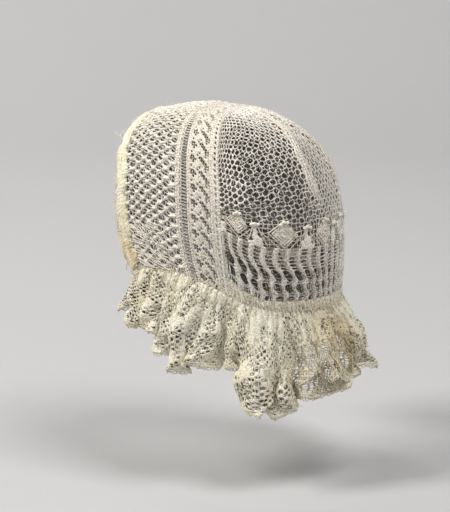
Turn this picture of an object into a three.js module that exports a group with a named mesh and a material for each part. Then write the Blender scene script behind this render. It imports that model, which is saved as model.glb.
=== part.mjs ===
import * as THREE from 'three';

// A knitted lace cap in its worn form, in millimetres.
// x runs to the wearer's left, y to the back of the head and z up.
// The origin is the middle of the crown's inside, where the cap rests on a head.

// Driving dimensions of the room inside the cap
const CAVITY_LENGTH = 191;
const CAVITY_WIDTH = 151;
const CROWN_HEIGHT = 94.5;
const NECK_DEPTH = 60;

// Driving dimensions of the cloth
const WALL = 1.5;
const CLEARANCE = 0.45;
const HEM_WIDTH = 12.5;
const HEM_THICKNESS = 3.6;
const HEM_SCALLOP = 1.2;
const SCALLOP_PITCH = 11;
const BAND_WIDTH = 43;
const LINE_THICKNESS = 2.6;
const FRONT_LINE_WIDTH = 3.5;
const LADDER_WIDTH = 8.5;
const THIN_LINE_WIDTH = 2;
const REAR_LINE_WIDTH = 8;
const LEAF_LENGTH = 13;
const LEAF_HEIGHT = 7;
const LEAF_PITCH = 14;
const LEAF_SLANT = 5;
const BROW_HOLE = 7;
const BROW_PITCH = 12;
const BACK_HOLE = 8.5;
const BACK_PITCH = 22;
const BACK_COURSE = 15.5;
const BOBBLE_RISE = 2;
const WAVE_DEPTH = 52;
const WAVE_PITCH = 19;
const WAVE_SLOT = 9;
const WAVE_SWING = 3;
const PLEAT_PITCH = 5.5;
const PLEAT_RISE = 1.4;
const RUFFLE_DEPTH = 80;
const RUFFLE_FLARE = 30;
const FLARE_POWER = 0.75;
const RIPPLE_PITCH = 19;
const RIPPLE_RISE = 2.4;
const STATION = 9;

const HALF_LENGTH = CAVITY_LENGTH / 2;
const HALF_WIDTH = CAVITY_WIDTH / 2;

// Exponents of the head form, in plan and in profile, at the brow and at the back
const FRONT_FORM = { plan: 2.6, profile: 2.9 };
const BACK_FORM = { plan: 2.1, profile: 2.4 };
const FORM_BLEND = { from: -0.62, to: 0.4 };
const NECK_TAPER = 0.03;

// Front edge and back seam in side view: z as a share of the crown, y of the half length
const FRONT_EDGE = [
  { z: -0.30, y: -0.39 },
  { z: -0.09, y: -0.545 },
  { z: 0.10, y: -0.60 },
  { z: 0.32, y: -0.62 },
  { z: 0.53, y: -0.64 },
  { z: 0.74, y: -0.67 },
  { z: 1.00, y: -0.68 },
];
const BACK_SEAM = [
  { z: -0.60, y: 0.475 },
  { z: -0.35, y: 0.44 },
  { z: 0.00, y: 0.405 },
  { z: 0.40, y: 0.36 },
  { z: 0.74, y: 0.27 },
  { z: 1.00, y: 0.15 },
];

// Line where the ruffle is gathered on, and lower end of the open lace at the back
const GATHER_LINE = [
  { y: -0.75, z: -0.235 },
  { y: -0.40, z: -0.235 },
  { y: -0.05, z: -0.235 },
  { y: 0.30, z: -0.34 },
  { y: 0.62, z: -0.50 },
  { y: 1.00, z: -0.60 },
];
const LACE_END = [
  { y: 0.20, z: -0.16 },
  { y: 0.42, z: -0.24 },
  { y: 0.56, z: -0.37 },
  { y: 0.72, z: -0.455 },
  { y: 1.00, z: -0.48 },
];

// Folds of the ruffle from the right cheek (-1) round the back (0) to the left cheek (1):
// how far the lower edge stands out, hangs down and leans forward, as shares of the
// flare and of the depth
const RUFFLE_FOLDS = [
  { at: -1.00, out: 0.15, drop: 0.46, lean: 0.00 },
  { at: -0.88, out: 0.60, drop: 0.60, lean: 0.06 },
  { at: -0.75, out: 0.20, drop: 0.66, lean: 0.10 },
  { at: -0.61, out: 0.75, drop: 0.80, lean: 0.10 },
  { at: -0.51, out: 0.55, drop: 0.76, lean: 0.06 },
  { at: -0.40, out: 0.95, drop: 0.70, lean: 0.04 },
  { at: -0.26, out: 0.70, drop: 0.68, lean: 0.02 },
  { at: -0.12, out: 1.00, drop: 0.60, lean: 0.00 },
  { at: 0.00, out: 0.84, drop: 0.60, lean: 0.00 },
  { at: 0.12, out: 0.90, drop: 0.70, lean: 0.00 },
  { at: 0.22, out: 0.42, drop: 0.84, lean: 0.02 },
  { at: 0.33, out: 0.75, drop: 1.00, lean: 0.04 },
  { at: 0.41, out: 0.56, drop: 0.94, lean: 0.06 },
  { at: 0.46, out: 0.16, drop: 0.66, lean: 0.08 },
  { at: 0.56, out: 0.22, drop: 0.70, lean: 0.12 },
  { at: 0.65, out: 0.70, drop: 0.86, lean: 0.16 },
  { at: 0.71, out: 0.50, drop: 0.80, lean: 0.16 },
  { at: 0.79, out: 0.15, drop: 0.62, lean: 0.10 },
  { at: 0.89, out: 0.60, drop: 0.60, lean: 0.06 },
  { at: 1.00, out: 0.20, drop: 0.44, lean: 0.00 },
];

// Bobbles of the back panel: place across from the centre (0) to the seam (1)
const BOBBLES = [-0.84, -0.43, 0, 0.43, 0.84];
const BOBBLE_COURSE = 0.80;

const CLOTH = {
  front_hem: { color: 0xd9cba2, roughness: 0.95, metalness: 0 },
  brow_panel: { color: 0xd9d2bd, roughness: 0.95, metalness: 0 },
  crown_band: { color: 0xd6cfba, roughness: 0.95, metalness: 0 },
  back_panel: { color: 0xd3ccb8, roughness: 0.95, metalness: 0 },
  wave_border: { color: 0xd6ceb7, roughness: 0.95, metalness: 0 },
  nape_gather: { color: 0xd9cfb0, roughness: 0.95, metalness: 0 },
  neck_ruffle: { color: 0xd8ceae, roughness: 0.95, metalness: 0 },
};

const clamp = THREE.MathUtils.clamp;
const mix = THREE.MathUtils.lerp;
const smooth = THREE.MathUtils.smoothstep;

// Smooth curve through a table's rows, level at each turn, read at a place in its key column
function along(rows, key, value, place) {
  const x = clamp(place, rows[0][key], rows[rows.length - 1][key]);
  let i = 0;
  while (i < rows.length - 2 && x > rows[i + 1][key]) i += 1;
  const rise = (j) => (rows[j + 1][value] - rows[j][value]) / (rows[j + 1][key] - rows[j][key]);
  const slope = (j) => {
    if (j === 0) return rise(0);
    if (j === rows.length - 1) return rise(j - 1);
    const product = rise(j - 1) * rise(j);
    return product > 0 ? 2 * product / (rise(j - 1) + rise(j)) : 0;
  };
  const span = rows[i + 1][key] - rows[i][key];
  const t = (x - rows[i][key]) / span;
  const start = (2 * t ** 3 - 3 * t ** 2 + 1) * rows[i][value];
  const end = (3 * t ** 2 - 2 * t ** 3) * rows[i + 1][value];
  const leave = (t ** 3 - 2 * t ** 2 + t) * span * slope(i);
  const arrive = (t ** 3 - t ** 2) * span * slope(i + 1);
  return start + end + leave + arrive;
}

// Size of the head form that passes through a point: 1 lies on the cap's inside
function level(point) {
  const x = Math.abs(point.x) / HALF_WIDTH;
  const y = Math.abs(point.y) / HALF_LENGTH;
  const z = Math.max(point.z, 0) / CROWN_HEIGHT;
  const facing = point.y / HALF_LENGTH / Math.hypot(x, y, z, 1e-6);
  const back = smooth(facing, FORM_BLEND.from, FORM_BLEND.to);
  const planPower = mix(FRONT_FORM.plan, BACK_FORM.plan, back);
  const profilePower = mix(FRONT_FORM.profile, BACK_FORM.profile, back);
  const plan = (x ** planPower + y ** planPower) ** (1 / planPower);
  if (point.z > 0) return (plan ** profilePower + z ** profilePower) ** (1 / profilePower);
  return plan / (1 - NECK_TAPER * clamp(-point.z / NECK_DEPTH, 0, 1) ** 2);
}

// Moves a point along its ray from the head's middle on to the form
function settle(point) {
  const placed = point.clone();
  for (let pass = 0; pass < 5; pass += 1) placed.divideScalar(level(placed));
  return placed;
}

// Outward direction of the form at a point
function outward(point) {
  const step = 0.5;
  const rise = (axis) => {
    const before = point.clone().addScaledVector(axis, -step);
    const after = point.clone().addScaledVector(axis, step);
    return level(after) - level(before);
  };
  const X = new THREE.Vector3(1, 0, 0);
  const Y = new THREE.Vector3(0, 1, 0);
  const Z = new THREE.Vector3(0, 0, 1);
  return new THREE.Vector3(rise(X), rise(Y), rise(Z)).normalize();
}

const gatherHeight = (y) => CROWN_HEIGHT * along(GATHER_LINE, 'y', 'z', y / HALF_LENGTH);
const laceEndHeight = (y) => CROWN_HEIGHT * along(LACE_END, 'y', 'z', y / HALF_LENGTH);

// A line of points that can be read at a share of its length
class Line {
  constructor(points) {
    this.points = points;
    this.reach = [0];
    for (let i = 1; i < points.length; i += 1) {
      this.reach.push(this.reach[i - 1] + points[i].distanceTo(points[i - 1]));
    }
    this.length = this.reach[points.length - 1];
  }

  at(share) {
    const place = clamp(share, 0, 1) * this.length;
    let i = 0;
    while (i < this.points.length - 2 && place > this.reach[i + 1]) i += 1;
    const t = (place - this.reach[i]) / (this.reach[i + 1] - this.reach[i]);
    return this.points[i].clone().lerp(this.points[i + 1], t);
  }

  // Share of the length at which the line first sinks below a height that depends on y
  shareWhere(height) {
    const i = this.points.findIndex((point) => point.z < height(point.y));
    if (i < 1) return 1;
    const above = this.points[i - 1].z - height(this.points[i - 1].y);
    const below = height(this.points[i].y) - this.points[i].z;
    return mix(this.reach[i - 1], this.reach[i], above / (above + below)) / this.length;
  }
}

// Distance in side view from the front edge to the back seam at the widest level
const frontShare = along(FRONT_EDGE, 'z', 'y', 0);
const seamShare = along(BACK_SEAM, 'z', 'y', 0);
const SIDE_SPAN = HALF_LENGTH * (seamShare - frontShare);

// Side-view line at a distance behind the front edge, from the crown's middle to the ruffle
const hoops = new Map();
function hoop(distance) {
  if (hoops.has(distance)) return hoops.get(distance);
  const share = distance / SIDE_SPAN;
  const points = [];
  const steps = 180;
  for (let i = 0; i <= steps; i += 1) {
    const angle = mix(Math.PI / 2, -Math.PI / 4, i / steps);
    const point = new THREE.Vector3();
    let low = 0;
    let high = 1.4;
    for (let pass = 0; pass < 34; pass += 1) {
      const size = (low + high) / 2;
      const z = CROWN_HEIGHT * size * Math.sin(angle);
      const front = along(FRONT_EDGE, 'z', 'y', z / CROWN_HEIGHT);
      const seam = along(BACK_SEAM, 'z', 'y', z / CROWN_HEIGHT);
      point.set(HALF_WIDTH * size * Math.cos(angle), HALF_LENGTH * mix(front, seam, share), z);
      if (level(point) < 1) low = size;
      else high = size;
    }
    points.push(point.clone());
  }
  const whole = new Line(points);
  const end = whole.shareWhere(gatherHeight);
  const kept = [];
  for (let i = 0; i <= steps; i += 1) kept.push(whole.at(end * i / steps));
  hoops.set(distance, new Line(kept));
  return hoops.get(distance);
}

const mirrored = (point, side) => new THREE.Vector3(point.x * Math.sign(side), point.y, point.z);

// Point over the crown: across runs from -1 at the right ear to 1 at the left ear
function overCrown(across, distance) {
  return mirrored(hoop(distance).at(Math.abs(across)), across);
}

// Line round the neck at a height that depends on y, from the centre back to a hoop
function neckLine(height, lastY) {
  const points = [];
  const steps = 240;
  for (let i = 0; i <= steps; i += 1) {
    const angle = Math.PI * i / steps;
    const point = new THREE.Vector3(HALF_WIDTH * Math.sin(angle), HALF_LENGTH * Math.cos(angle), 0);
    for (let pass = 0; pass < 12; pass += 1) {
      point.z = height(point.y);
      const size = level(point);
      point.set(point.x / size, point.y / size, point.z);
    }
    if (point.y < lastY) break;
    points.push(point);
  }
  return new Line(points);
}

const seamLine = hoop(SIDE_SPAN);
const laceEndShare = seamLine.shareWhere(laceEndHeight);
const gatherLine = neckLine(gatherHeight, hoop(0).at(1).y);
const laceEnd = neckLine(laceEndHeight, seamLine.at(laceEndShare).y);
const napeEnd = neckLine(gatherHeight, seamLine.at(1).y);

// Share of the seam that the back panel's top edge takes on each side of the middle
const PANEL_TOP = 0.30;
const centreLine = (() => {
  const top = seamLine.at(0);
  const foot = laceEnd.at(0);
  const points = [];
  const steps = 120;
  for (let i = 0; i <= steps; i += 1) points.push(settle(top.clone().lerp(foot, i / steps)));
  return new Line(points);
})();

// Point of the back: across runs from -1 to 1 between the seams, down from 0 to 1
function overBack(across, down) {
  const t = Math.abs(across);
  const top = seamLine.at(PANEL_TOP * t);
  const foot = laceEnd.at(t);
  const middle = centreLine.at(down);
  const side = seamLine.at(mix(PANEL_TOP, laceEndShare, down));
  const corners = [seamLine.at(0), seamLine.at(PANEL_TOP), laceEnd.at(0), laceEnd.at(1)];
  const blend = new THREE.Vector3();
  blend.addScaledVector(middle, 1 - t).addScaledVector(side, t);
  blend.addScaledVector(top, 1 - down).addScaledVector(foot, down);
  blend.addScaledVector(corners[0], -(1 - t) * (1 - down)).addScaledVector(corners[1], -t * (1 - down));
  blend.addScaledVector(corners[2], -(1 - t) * down).addScaledVector(corners[3], -t * down);
  return mirrored(settle(blend), across);
}

// Point of the gathered nape between the open lace and the ruffle
function overNape(across, down) {
  const t = Math.abs(across);
  const point = laceEnd.at(t).lerp(napeEnd.at(t), down);
  const side = seamLine.at(mix(laceEndShare, 1, down));
  const straight = laceEnd.at(1).lerp(napeEnd.at(1), down);
  point.addScaledVector(side.sub(straight), t);
  return mirrored(settle(point), across);
}

// Closed body between an outer and an inner sheet on a grid, with some cells left open
function shell(name, acrosses, downs, place, isOpen = () => false) {
  const wide = acrosses.length;
  const outer = [];
  const inner = [];
  downs.forEach((down, row) => acrosses.forEach((across, column) => {
    const { point, lift, base } = place(across, down, column, row);
    const direction = base ?? outward(point);
    outer.push(point.clone().addScaledVector(direction, lift));
    inner.push(point.clone());
  }));
  const count = outer.length;
  const positions = [...outer, ...inner].flatMap((point) => [point.x, point.y, point.z]);
  const faces = [];
  const quad = (a, b, c, d) => faces.push(a, b, c, a, c, d);
  const kept = (i, j) => i >= 0 && j >= 0 && i < wide - 1 && j < downs.length - 1 && !isOpen(i, j);
  for (let j = 0; j < downs.length - 1; j += 1) {
    for (let i = 0; i < wide - 1; i += 1) {
      if (!kept(i, j)) continue;
      const a = j * wide + i;
      const b = a + 1;
      const c = b + wide;
      const d = a + wide;
      quad(a, d, c, b);
      quad(a + count, b + count, c + count, d + count);
      if (!kept(i, j - 1)) quad(b, b + count, a + count, a);
      if (!kept(i + 1, j)) quad(c, c + count, b + count, b);
      if (!kept(i, j + 1)) quad(d, d + count, c + count, c);
      if (!kept(i - 1, j)) quad(a, a + count, d + count, d);
    }
  }
  if (signedVolume(positions, faces) < 0) {
    for (let k = 0; k < faces.length; k += 3) [faces[k], faces[k + 1]] = [faces[k + 1], faces[k]];
  }
  const used = [...new Set(faces)];
  const place3 = new Map(used.map((vertex, index) => [vertex, index]));
  const points = used.flatMap((vertex) => positions.slice(3 * vertex, 3 * vertex + 3));
  const geometry = new THREE.BufferGeometry();
  geometry.setAttribute('position', new THREE.Float32BufferAttribute(points, 3));
  geometry.setIndex(faces.map((vertex) => place3.get(vertex)));
  geometry.computeVertexNormals();
  const mesh = new THREE.Mesh(geometry, new THREE.MeshStandardMaterial(CLOTH[name]));
  mesh.name = name;
  return mesh;
}

function signedVolume(positions, faces) {
  const corner = (k) => new THREE.Vector3().fromArray(positions, 3 * faces[k]);
  let volume = 0;
  for (let k = 0; k < faces.length; k += 3) {
    volume += corner(k).dot(corner(k + 1).cross(corner(k + 2)));
  }
  return volume;
}

// Even shares from one end to the other, at most a step apart in millimetres
function evenShares(from, to, length, step) {
  const count = Math.max(2, Math.ceil(length / step));
  return Array.from({ length: count + 1 }, (_, i) => mix(from, to, i / count));
}

// Shares with a bar, a hole, a bar and so on: every odd cell is a hole
function piercedShares(from, to, length, pitch, hole) {
  const count = Math.max(1, Math.round(length / pitch));
  const shares = [from];
  const half = hole / pitch / 2;
  for (let i = 0; i < count; i += 1) {
    shares.push(mix(from, to, (i + 0.5 - half) / count), mix(from, to, (i + 0.5 + half) / count));
  }
  shares.push(to);
  return shares;
}

const isHoleCell = (index) => index % 2 === 1;
const holeNumber = (index) => (index - 1) / 2;

// Thick rolled edge round the face, with small scallops
function frontHem() {
  const length = 2 * hoop(0).length;
  const acrosses = evenShares(-1, 1, length, SCALLOP_PITCH / 2);
  const sections = [
    { at: 0.00, thick: 0.35 },
    { at: 0.12, thick: 0.75 },
    { at: 0.40, thick: 1.00 },
    { at: 0.75, thick: 0.85 },
    { at: 1.00, thick: 0.30 },
  ];
  const width = HEM_WIDTH - CLEARANCE / 2;
  return shell('front_hem', acrosses, sections, (across, section, column) => {
    const scallop = HEM_SCALLOP * (column % 2) * (1 - section.at);
    const point = overCrown(across, width * section.at);
    const edge = overCrown(across, width);
    const forward = point.clone().sub(edge).normalize();
    if (section.at < 1) point.addScaledVector(forward, scallop);
    return { point, lift: HEM_THICKNESS * section.thick, base: outward(edge) };
  });
}

// Lace between the hem and the band, pierced in a staggered pattern
function browPanel() {
  const start = HEM_WIDTH + CLEARANCE / 2;
  const end = SIDE_SPAN - BAND_WIDTH - CLEARANCE / 2;
  const length = 2 * hoop(start).length;
  const acrosses = piercedShares(-1, 1, length, BROW_PITCH, BROW_HOLE);
  const distances = piercedShares(start, end, end - start, BROW_PITCH, BROW_HOLE);
  const place = (across, distance) => ({ point: overCrown(across, distance), lift: WALL });
  const isOpen = (i, j) => isHoleCell(i) && isHoleCell(j) && (holeNumber(i) + holeNumber(j)) % 2 === 0;
  return shell('brow_panel', acrosses, distances, place, isOpen);
}

// Band from ear to ear: raised lines, a thin ladder strip and a strip of slanted leaf holes
function crownBand() {
  const start = SIDE_SPAN - BAND_WIDTH + CLEARANCE / 2;
  const end = SIDE_SPAN - CLEARANCE / 2;
  const thinLine = start + FRONT_LINE_WIDTH + LADDER_WIDTH;
  const leafStrip = thinLine + THIN_LINE_WIDTH;
  const rearLine = end - REAR_LINE_WIDTH;
  const leafStart = (leafStrip + rearLine - LEAF_LENGTH) / 2;
  const ease = (LINE_THICKNESS - WALL) / 2;
  const rows = [
    { distance: start, lift: LINE_THICKNESS, slant: 0 },
    { distance: start + FRONT_LINE_WIDTH, lift: LINE_THICKNESS, slant: 0 },
    { distance: start + FRONT_LINE_WIDTH + ease, lift: WALL, slant: 0 },
    { distance: thinLine, lift: WALL, slant: 0 },
    { distance: thinLine + THIN_LINE_WIDTH / 2, lift: LINE_THICKNESS, slant: 0 },
    { distance: leafStrip, lift: WALL, slant: 0 },
    { distance: leafStart, lift: WALL, slant: -LEAF_SLANT / 2 },
    { distance: leafStart + LEAF_LENGTH, lift: WALL, slant: LEAF_SLANT / 2 },
    { distance: rearLine - ease, lift: WALL, slant: 0 },
    { distance: rearLine, lift: LINE_THICKNESS, slant: 0 },
    { distance: end, lift: LINE_THICKNESS, slant: 0 },
  ];
  const leafRow = 6;
  const halfLength = hoop(SIDE_SPAN - BAND_WIDTH / 2).length;
  const acrosses = piercedShares(-1, 1, 2 * halfLength, LEAF_PITCH, LEAF_HEIGHT);
  const place = (across, row, column) => {
    const inside = column > 0 && column < acrosses.length - 1;
    const slant = inside ? Math.sign(across) * row.slant / halfLength : 0;
    return { point: overCrown(across + slant, row.distance), lift: row.lift };
  };
  const middle = (acrosses.length - 2) / 2;
  const isOpen = (i, j) => j === leafRow && isHoleCell(i) && Math.abs(i - middle) > 1;
  return shell('crown_band', acrosses, rows, place, isOpen);
}

const backLength = centreLine.length;
const backWidth = 2 * laceEnd.length;
const panelEnd = 1 - WAVE_DEPTH / backLength;
const seamGap = CLEARANCE / laceEnd.length;

// Net of the back of the head, pierced in a staggered pattern, with a row of bobbles
function backPanel() {
  const acrosses = piercedShares(-1 + seamGap, 1 - seamGap, backWidth, BACK_PITCH, BACK_HOLE);
  const top = CLEARANCE / backLength;
  const end = panelEnd - CLEARANCE / 2 / backLength;
  const downs = piercedShares(top, end, (end - top) * backLength, BACK_COURSE, BACK_HOLE);
  const bobbleRow = 2 * Math.round(BOBBLE_COURSE * (downs.length / 2 - 1));
  const nearest = (across) => acrosses.reduce((best, value, i) => (
    i % 2 === 0 && Math.abs(value - across) < Math.abs(acrosses[best] - across) ? i : best), 0);
  const bobbles = new Set(BOBBLES.map(nearest));
  const place = (across, down, column, row) => {
    const risen = row === bobbleRow && bobbles.has(column);
    return { point: overBack(across, down), lift: WALL + (risen ? BOBBLE_RISE : 0) };
  };
  const isOpen = (i, j) => isHoleCell(i) && isHoleCell(j) && (holeNumber(i) + holeNumber(j)) % 2 === 0;
  return shell('back_panel', acrosses, downs, place, isOpen);
}

// Border of upright waves below the net: two rows of tall slots between swung ribs
function waveBorder() {
  const start = panelEnd + CLEARANCE / 2 / backLength;
  const end = 1 - CLEARANCE / 2 / backLength;
  const acrosses = piercedShares(-1 + seamGap, 1 - seamGap, backWidth, WAVE_PITCH, WAVE_SLOT);
  const shares = [0, 0.08, 0.26, 0.44, 0.56, 0.74, 0.92, 1];
  const slotRows = [1, 2, 4, 5];
  const place = (across, share, column) => {
    const inside = column > 0 && column < acrosses.length - 1;
    const swing = inside ? WAVE_SWING / laceEnd.length * Math.sin(2 * Math.PI * share) : 0;
    return { point: overBack(across + swing, mix(start, end, share)), lift: WALL };
  };
  return shell('wave_border', acrosses, shares, place, (i, j) => isHoleCell(i) && slotRows.includes(j));
}

// Dense gathered strip that draws the back lace in to the ruffle
function napeGather() {
  const gap = CLEARANCE / napeEnd.length;
  const count = 2 * Math.round(2 * napeEnd.length / PLEAT_PITCH / 2) + 1;
  const acrosses = Array.from({ length: 2 * count + 1 }, (_, i) => mix(-1 + gap, 1 - gap, i / (2 * count)));
  const depth = laceEnd.at(0).distanceTo(napeEnd.at(0));
  const sections = [
    { at: CLEARANCE / depth, rise: 0.4 },
    { at: 0.5, rise: 1.0 },
    { at: 1.0, rise: 0.7 },
  ];
  return shell('nape_gather', acrosses, sections, (across, section, column) => ({
    point: overNape(across, section.at),
    lift: WALL + PLEAT_RISE * section.rise * (column % 2),
  }));
}

// Point of the ruffle's inner side: across from -1 to 1 round the neck, down from 0 to 1
function overRuffle(across, down) {
  const t = Math.abs(across);
  const top = gatherLine.at(t);
  const direction = outward(top).setZ(0).normalize();
  const forward = new THREE.Vector3(direction.y, -direction.x, 0);
  const fold = (column) => along(RUFFLE_FOLDS, 'at', column, across);
  const turns = gatherLine.length / RIPPLE_PITCH;
  const ripple = RIPPLE_RISE * down * Math.cos(2 * Math.PI * turns * t);
  const flare = RUFFLE_FLARE * fold('out') * Math.sin(down * Math.PI / 2) ** FLARE_POWER;
  top.addScaledVector(direction, flare + ripple);
  top.addScaledVector(forward, RUFFLE_DEPTH * fold('lean') * down);
  top.z -= CLEARANCE + (RUFFLE_DEPTH * fold('drop') - CLEARANCE) * down;
  return mirrored(top, across);
}

// Outward direction of the ruffle's sheet, from its neighbours on the grid
function ruffleOutward(across, down) {
  const step = 0.004;
  const left = overRuffle(clamp(across - step, -1, 1), down);
  const right = overRuffle(clamp(across + step, -1, 1), down);
  const above = overRuffle(across, Math.max(down - step, 0));
  const below = overRuffle(across, Math.min(down + step, 1));
  return right.sub(left).cross(above.sub(below)).normalize().negate();
}

// Gathered lace ruffle round the neck
function neckRuffle() {
  const acrosses = evenShares(-1, 1, 2 * gatherLine.length, RIPPLE_PITCH / 4);
  const downs = evenShares(0, 1, RUFFLE_DEPTH, 1.5 * STATION);
  const level = (point) => outward(point).setZ(0).normalize();
  return shell('neck_ruffle', acrosses, downs, (across, down) => {
    const point = overRuffle(across, down);
    return { point, lift: WALL, base: down > 0 ? ruffleOutward(across, down) : level(point) };
  });
}

const worn = new THREE.Group();
worn.position.z = -CROWN_HEIGHT;
worn.add(frontHem(), browPanel(), crownBand());
worn.add(backPanel(), waveBorder(), napeGather(), neckRuffle());

const cap = new THREE.Group();
cap.add(worn);

export default cap;
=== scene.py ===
# %% [markdown]
# # A knitted lace cap in Blender
# The cap is cotton yarn and air. A rolled hem goes round the face, then come a panel of
# openwork, a band from ear to ear, a net over the back with a row of bobbles, a border of
# upright waves, a dense gathered nape and a ruffle. The solid model holds these as plain
# walls. Here each one becomes real knitting: every stitch is a small cushion of mesh,
# every yarn-over is a real hole, and loose strands cross the holes.

import bpy
import numpy as np
from mathutils import Matrix, Vector


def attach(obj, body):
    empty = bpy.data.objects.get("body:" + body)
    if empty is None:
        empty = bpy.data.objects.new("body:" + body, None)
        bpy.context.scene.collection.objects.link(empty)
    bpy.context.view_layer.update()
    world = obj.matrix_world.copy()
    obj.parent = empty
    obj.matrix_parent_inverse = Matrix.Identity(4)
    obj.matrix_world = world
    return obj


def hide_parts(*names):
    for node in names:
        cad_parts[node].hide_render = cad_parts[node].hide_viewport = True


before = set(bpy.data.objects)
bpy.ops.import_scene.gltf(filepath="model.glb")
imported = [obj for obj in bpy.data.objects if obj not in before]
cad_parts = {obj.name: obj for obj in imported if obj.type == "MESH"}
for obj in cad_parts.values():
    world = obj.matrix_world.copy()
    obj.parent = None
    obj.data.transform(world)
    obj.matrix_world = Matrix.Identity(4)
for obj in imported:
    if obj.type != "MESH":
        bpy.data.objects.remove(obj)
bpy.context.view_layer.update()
MM = 0.001
rng = np.random.default_rng(31)
print("nodes:", sorted(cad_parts))

# %% [markdown]
# ## The form under the cloth
# Every piece lies on one smooth form, the inside of the cap. It is a rounded box: in plan
# and in profile a power curve joins the length, the width and the crown, squarer at the
# brow and rounder at the back. The same few sizes, in millimetres, place the solids, so
# the yarn and the solids agree without any fitting. The origin is under the crown.

# %% Sizes and the form
HALF_LENGTH = 95.5
HALF_WIDTH = 75.5
CROWN_HEIGHT = 94.5
NECK_DEPTH = 60.0
NECK_TAPER = 0.03
FRONT_POWERS = (2.6, 2.9)
BACK_POWERS = (2.1, 2.4)
POWER_BLEND = (-0.62, 0.4)

FRONT_EDGE = np.array([(-0.30, -0.39), (-0.09, -0.545), (0.10, -0.60), (0.32, -0.62),
                       (0.53, -0.64), (0.74, -0.67), (1.00, -0.68)])
BACK_SEAM = np.array([(-0.60, 0.475), (-0.35, 0.44), (0.00, 0.405), (0.40, 0.36),
                      (0.74, 0.27), (1.00, 0.15)])
GATHER_LINE = np.array([(-0.75, -0.235), (-0.40, -0.235), (-0.05, -0.235), (0.30, -0.34),
                        (0.62, -0.50), (1.00, -0.60)])
LACE_END = np.array([(0.20, -0.16), (0.42, -0.24), (0.56, -0.37), (0.72, -0.455),
                     (1.00, -0.48)])


def smooth(low, high, x):
    """Eased step from 0 at low to 1 at high."""
    t = np.clip((x - low) / (high - low), 0, 1)
    return t * t * (3 - 2 * t)


def along(rows, x, column=1):
    """Smooth curve through a table's rows, level at each turn, read at x in column 0."""
    keys, values = rows[:, 0], rows[:, column]
    rise = np.diff(values) / np.diff(keys)
    product = rise[:-1] * rise[1:]
    total = np.where(product > 0, rise[:-1] + rise[1:], 1)
    inner = np.where(product > 0, 2 * product / total, 0)
    slope = np.concatenate([rise[:1], inner, rise[-1:]])
    x = np.clip(x, keys[0], keys[-1])
    i = np.clip(np.searchsorted(keys, x) - 1, 0, len(keys) - 2)
    span = keys[i + 1] - keys[i]
    t = (x - keys[i]) / span
    start = (2 * t**3 - 3 * t**2 + 1) * values[i] + (t**3 - 2 * t**2 + t) * span * slope[i]
    end = (3 * t**2 - 2 * t**3) * values[i + 1] + (t**3 - t**2) * span * slope[i + 1]
    return start + end


def level(points):
    """Size of the form through each point: the power sum of plan and height, 1 inside."""
    x = np.abs(points[..., 0]) / HALF_WIDTH
    y = np.abs(points[..., 1]) / HALF_LENGTH
    z = np.clip(points[..., 2], 0, None) / CROWN_HEIGHT
    facing = points[..., 1] / HALF_LENGTH / np.sqrt(x * x + y * y + z * z + 1e-12)
    back = smooth(*POWER_BLEND, facing)
    in_plan = FRONT_POWERS[0] + (BACK_POWERS[0] - FRONT_POWERS[0]) * back
    in_profile = FRONT_POWERS[1] + (BACK_POWERS[1] - FRONT_POWERS[1]) * back
    plan = (x**in_plan + y**in_plan) ** (1 / in_plan)
    upper = (plan**in_profile + z**in_profile) ** (1 / in_profile)
    lower = plan / (1 - NECK_TAPER * np.clip(-points[..., 2] / NECK_DEPTH, 0, 1) ** 2)
    return np.where(points[..., 2] > 0, upper, lower)


def settle(points):
    """Moves points along their rays from the middle on to the form."""
    for _ in range(5):
        points = points / level(points)[..., None]
    return points


def unit(vectors):
    """The same directions with length 1."""
    return vectors / np.maximum(np.linalg.norm(vectors, axis=-1, keepdims=True), 1e-12)


def outward(points):
    """Outward direction of the form: how its level grows along each axis."""
    step = 0.5 * np.eye(3)
    return unit(np.stack([level(points + s) - level(points - s) for s in step], axis=-1))


# %% [markdown]
# ## Lines on the form
# In side view the front edge and the back seam are two smooth lines. Any line between
# them is a mix of the two, and its width at each height follows from the form, found by
# halving an interval for whole arrays at once. The neck lines run round the form at a
# height that depends on how far back they are. All lines are read by their length.

# %% Hoops over the crown and lines round the neck
def gather_height(y):
    """Height of the line where the ruffle is sewn on."""
    return CROWN_HEIGHT * along(GATHER_LINE, y / HALF_LENGTH)


def lace_end_height(y):
    """Height of the lower end of the open lace at the back."""
    return CROWN_HEIGHT * along(LACE_END, y / HALF_LENGTH)


def by_length(points, shares):
    """Points of a line at shares of its length, with straight stretches between."""
    reach = np.concatenate([[0], np.cumsum(np.linalg.norm(np.diff(points, axis=0), axis=1))])
    place = np.clip(shares, 0, 1) * reach[-1]
    return np.stack([np.interp(place, reach, points[:, k]) for k in range(3)], axis=-1)


def length_of(points):
    """Length of a line of points."""
    return np.linalg.norm(np.diff(points, axis=0), axis=1).sum()


def cut_below(points, height):
    """The part of a falling line above a height that depends on y, with its end point."""
    gap = points[:, 2] - height(points[:, 1])
    j = int(np.argmax(gap < 0))
    t = gap[j - 1] / (gap[j - 1] - gap[j])
    return np.vstack([points[:j], points[j - 1] + t * (points[j] - points[j - 1])])


def side_view_line(share, turns=300):
    """Half hoop at a share from front edge to seam, from the crown down past the ear."""
    angle = np.linspace(np.pi / 2, -np.pi / 4, turns)
    low, high = np.zeros(turns), np.full(turns, 1.4)
    for _ in range(34):
        size = (low + high) / 2
        z = CROWN_HEIGHT * size * np.sin(angle)
        front, seam = along(FRONT_EDGE, z / CROWN_HEIGHT), along(BACK_SEAM, z / CROWN_HEIGHT)
        y = HALF_LENGTH * ((1 - share) * front + share * seam)
        points = np.stack([HALF_WIDTH * size * np.cos(angle), y, z], axis=-1)
        inside = level(points) < 1
        low, high = np.where(inside, size, low), np.where(inside, high, size)
    return points


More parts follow.
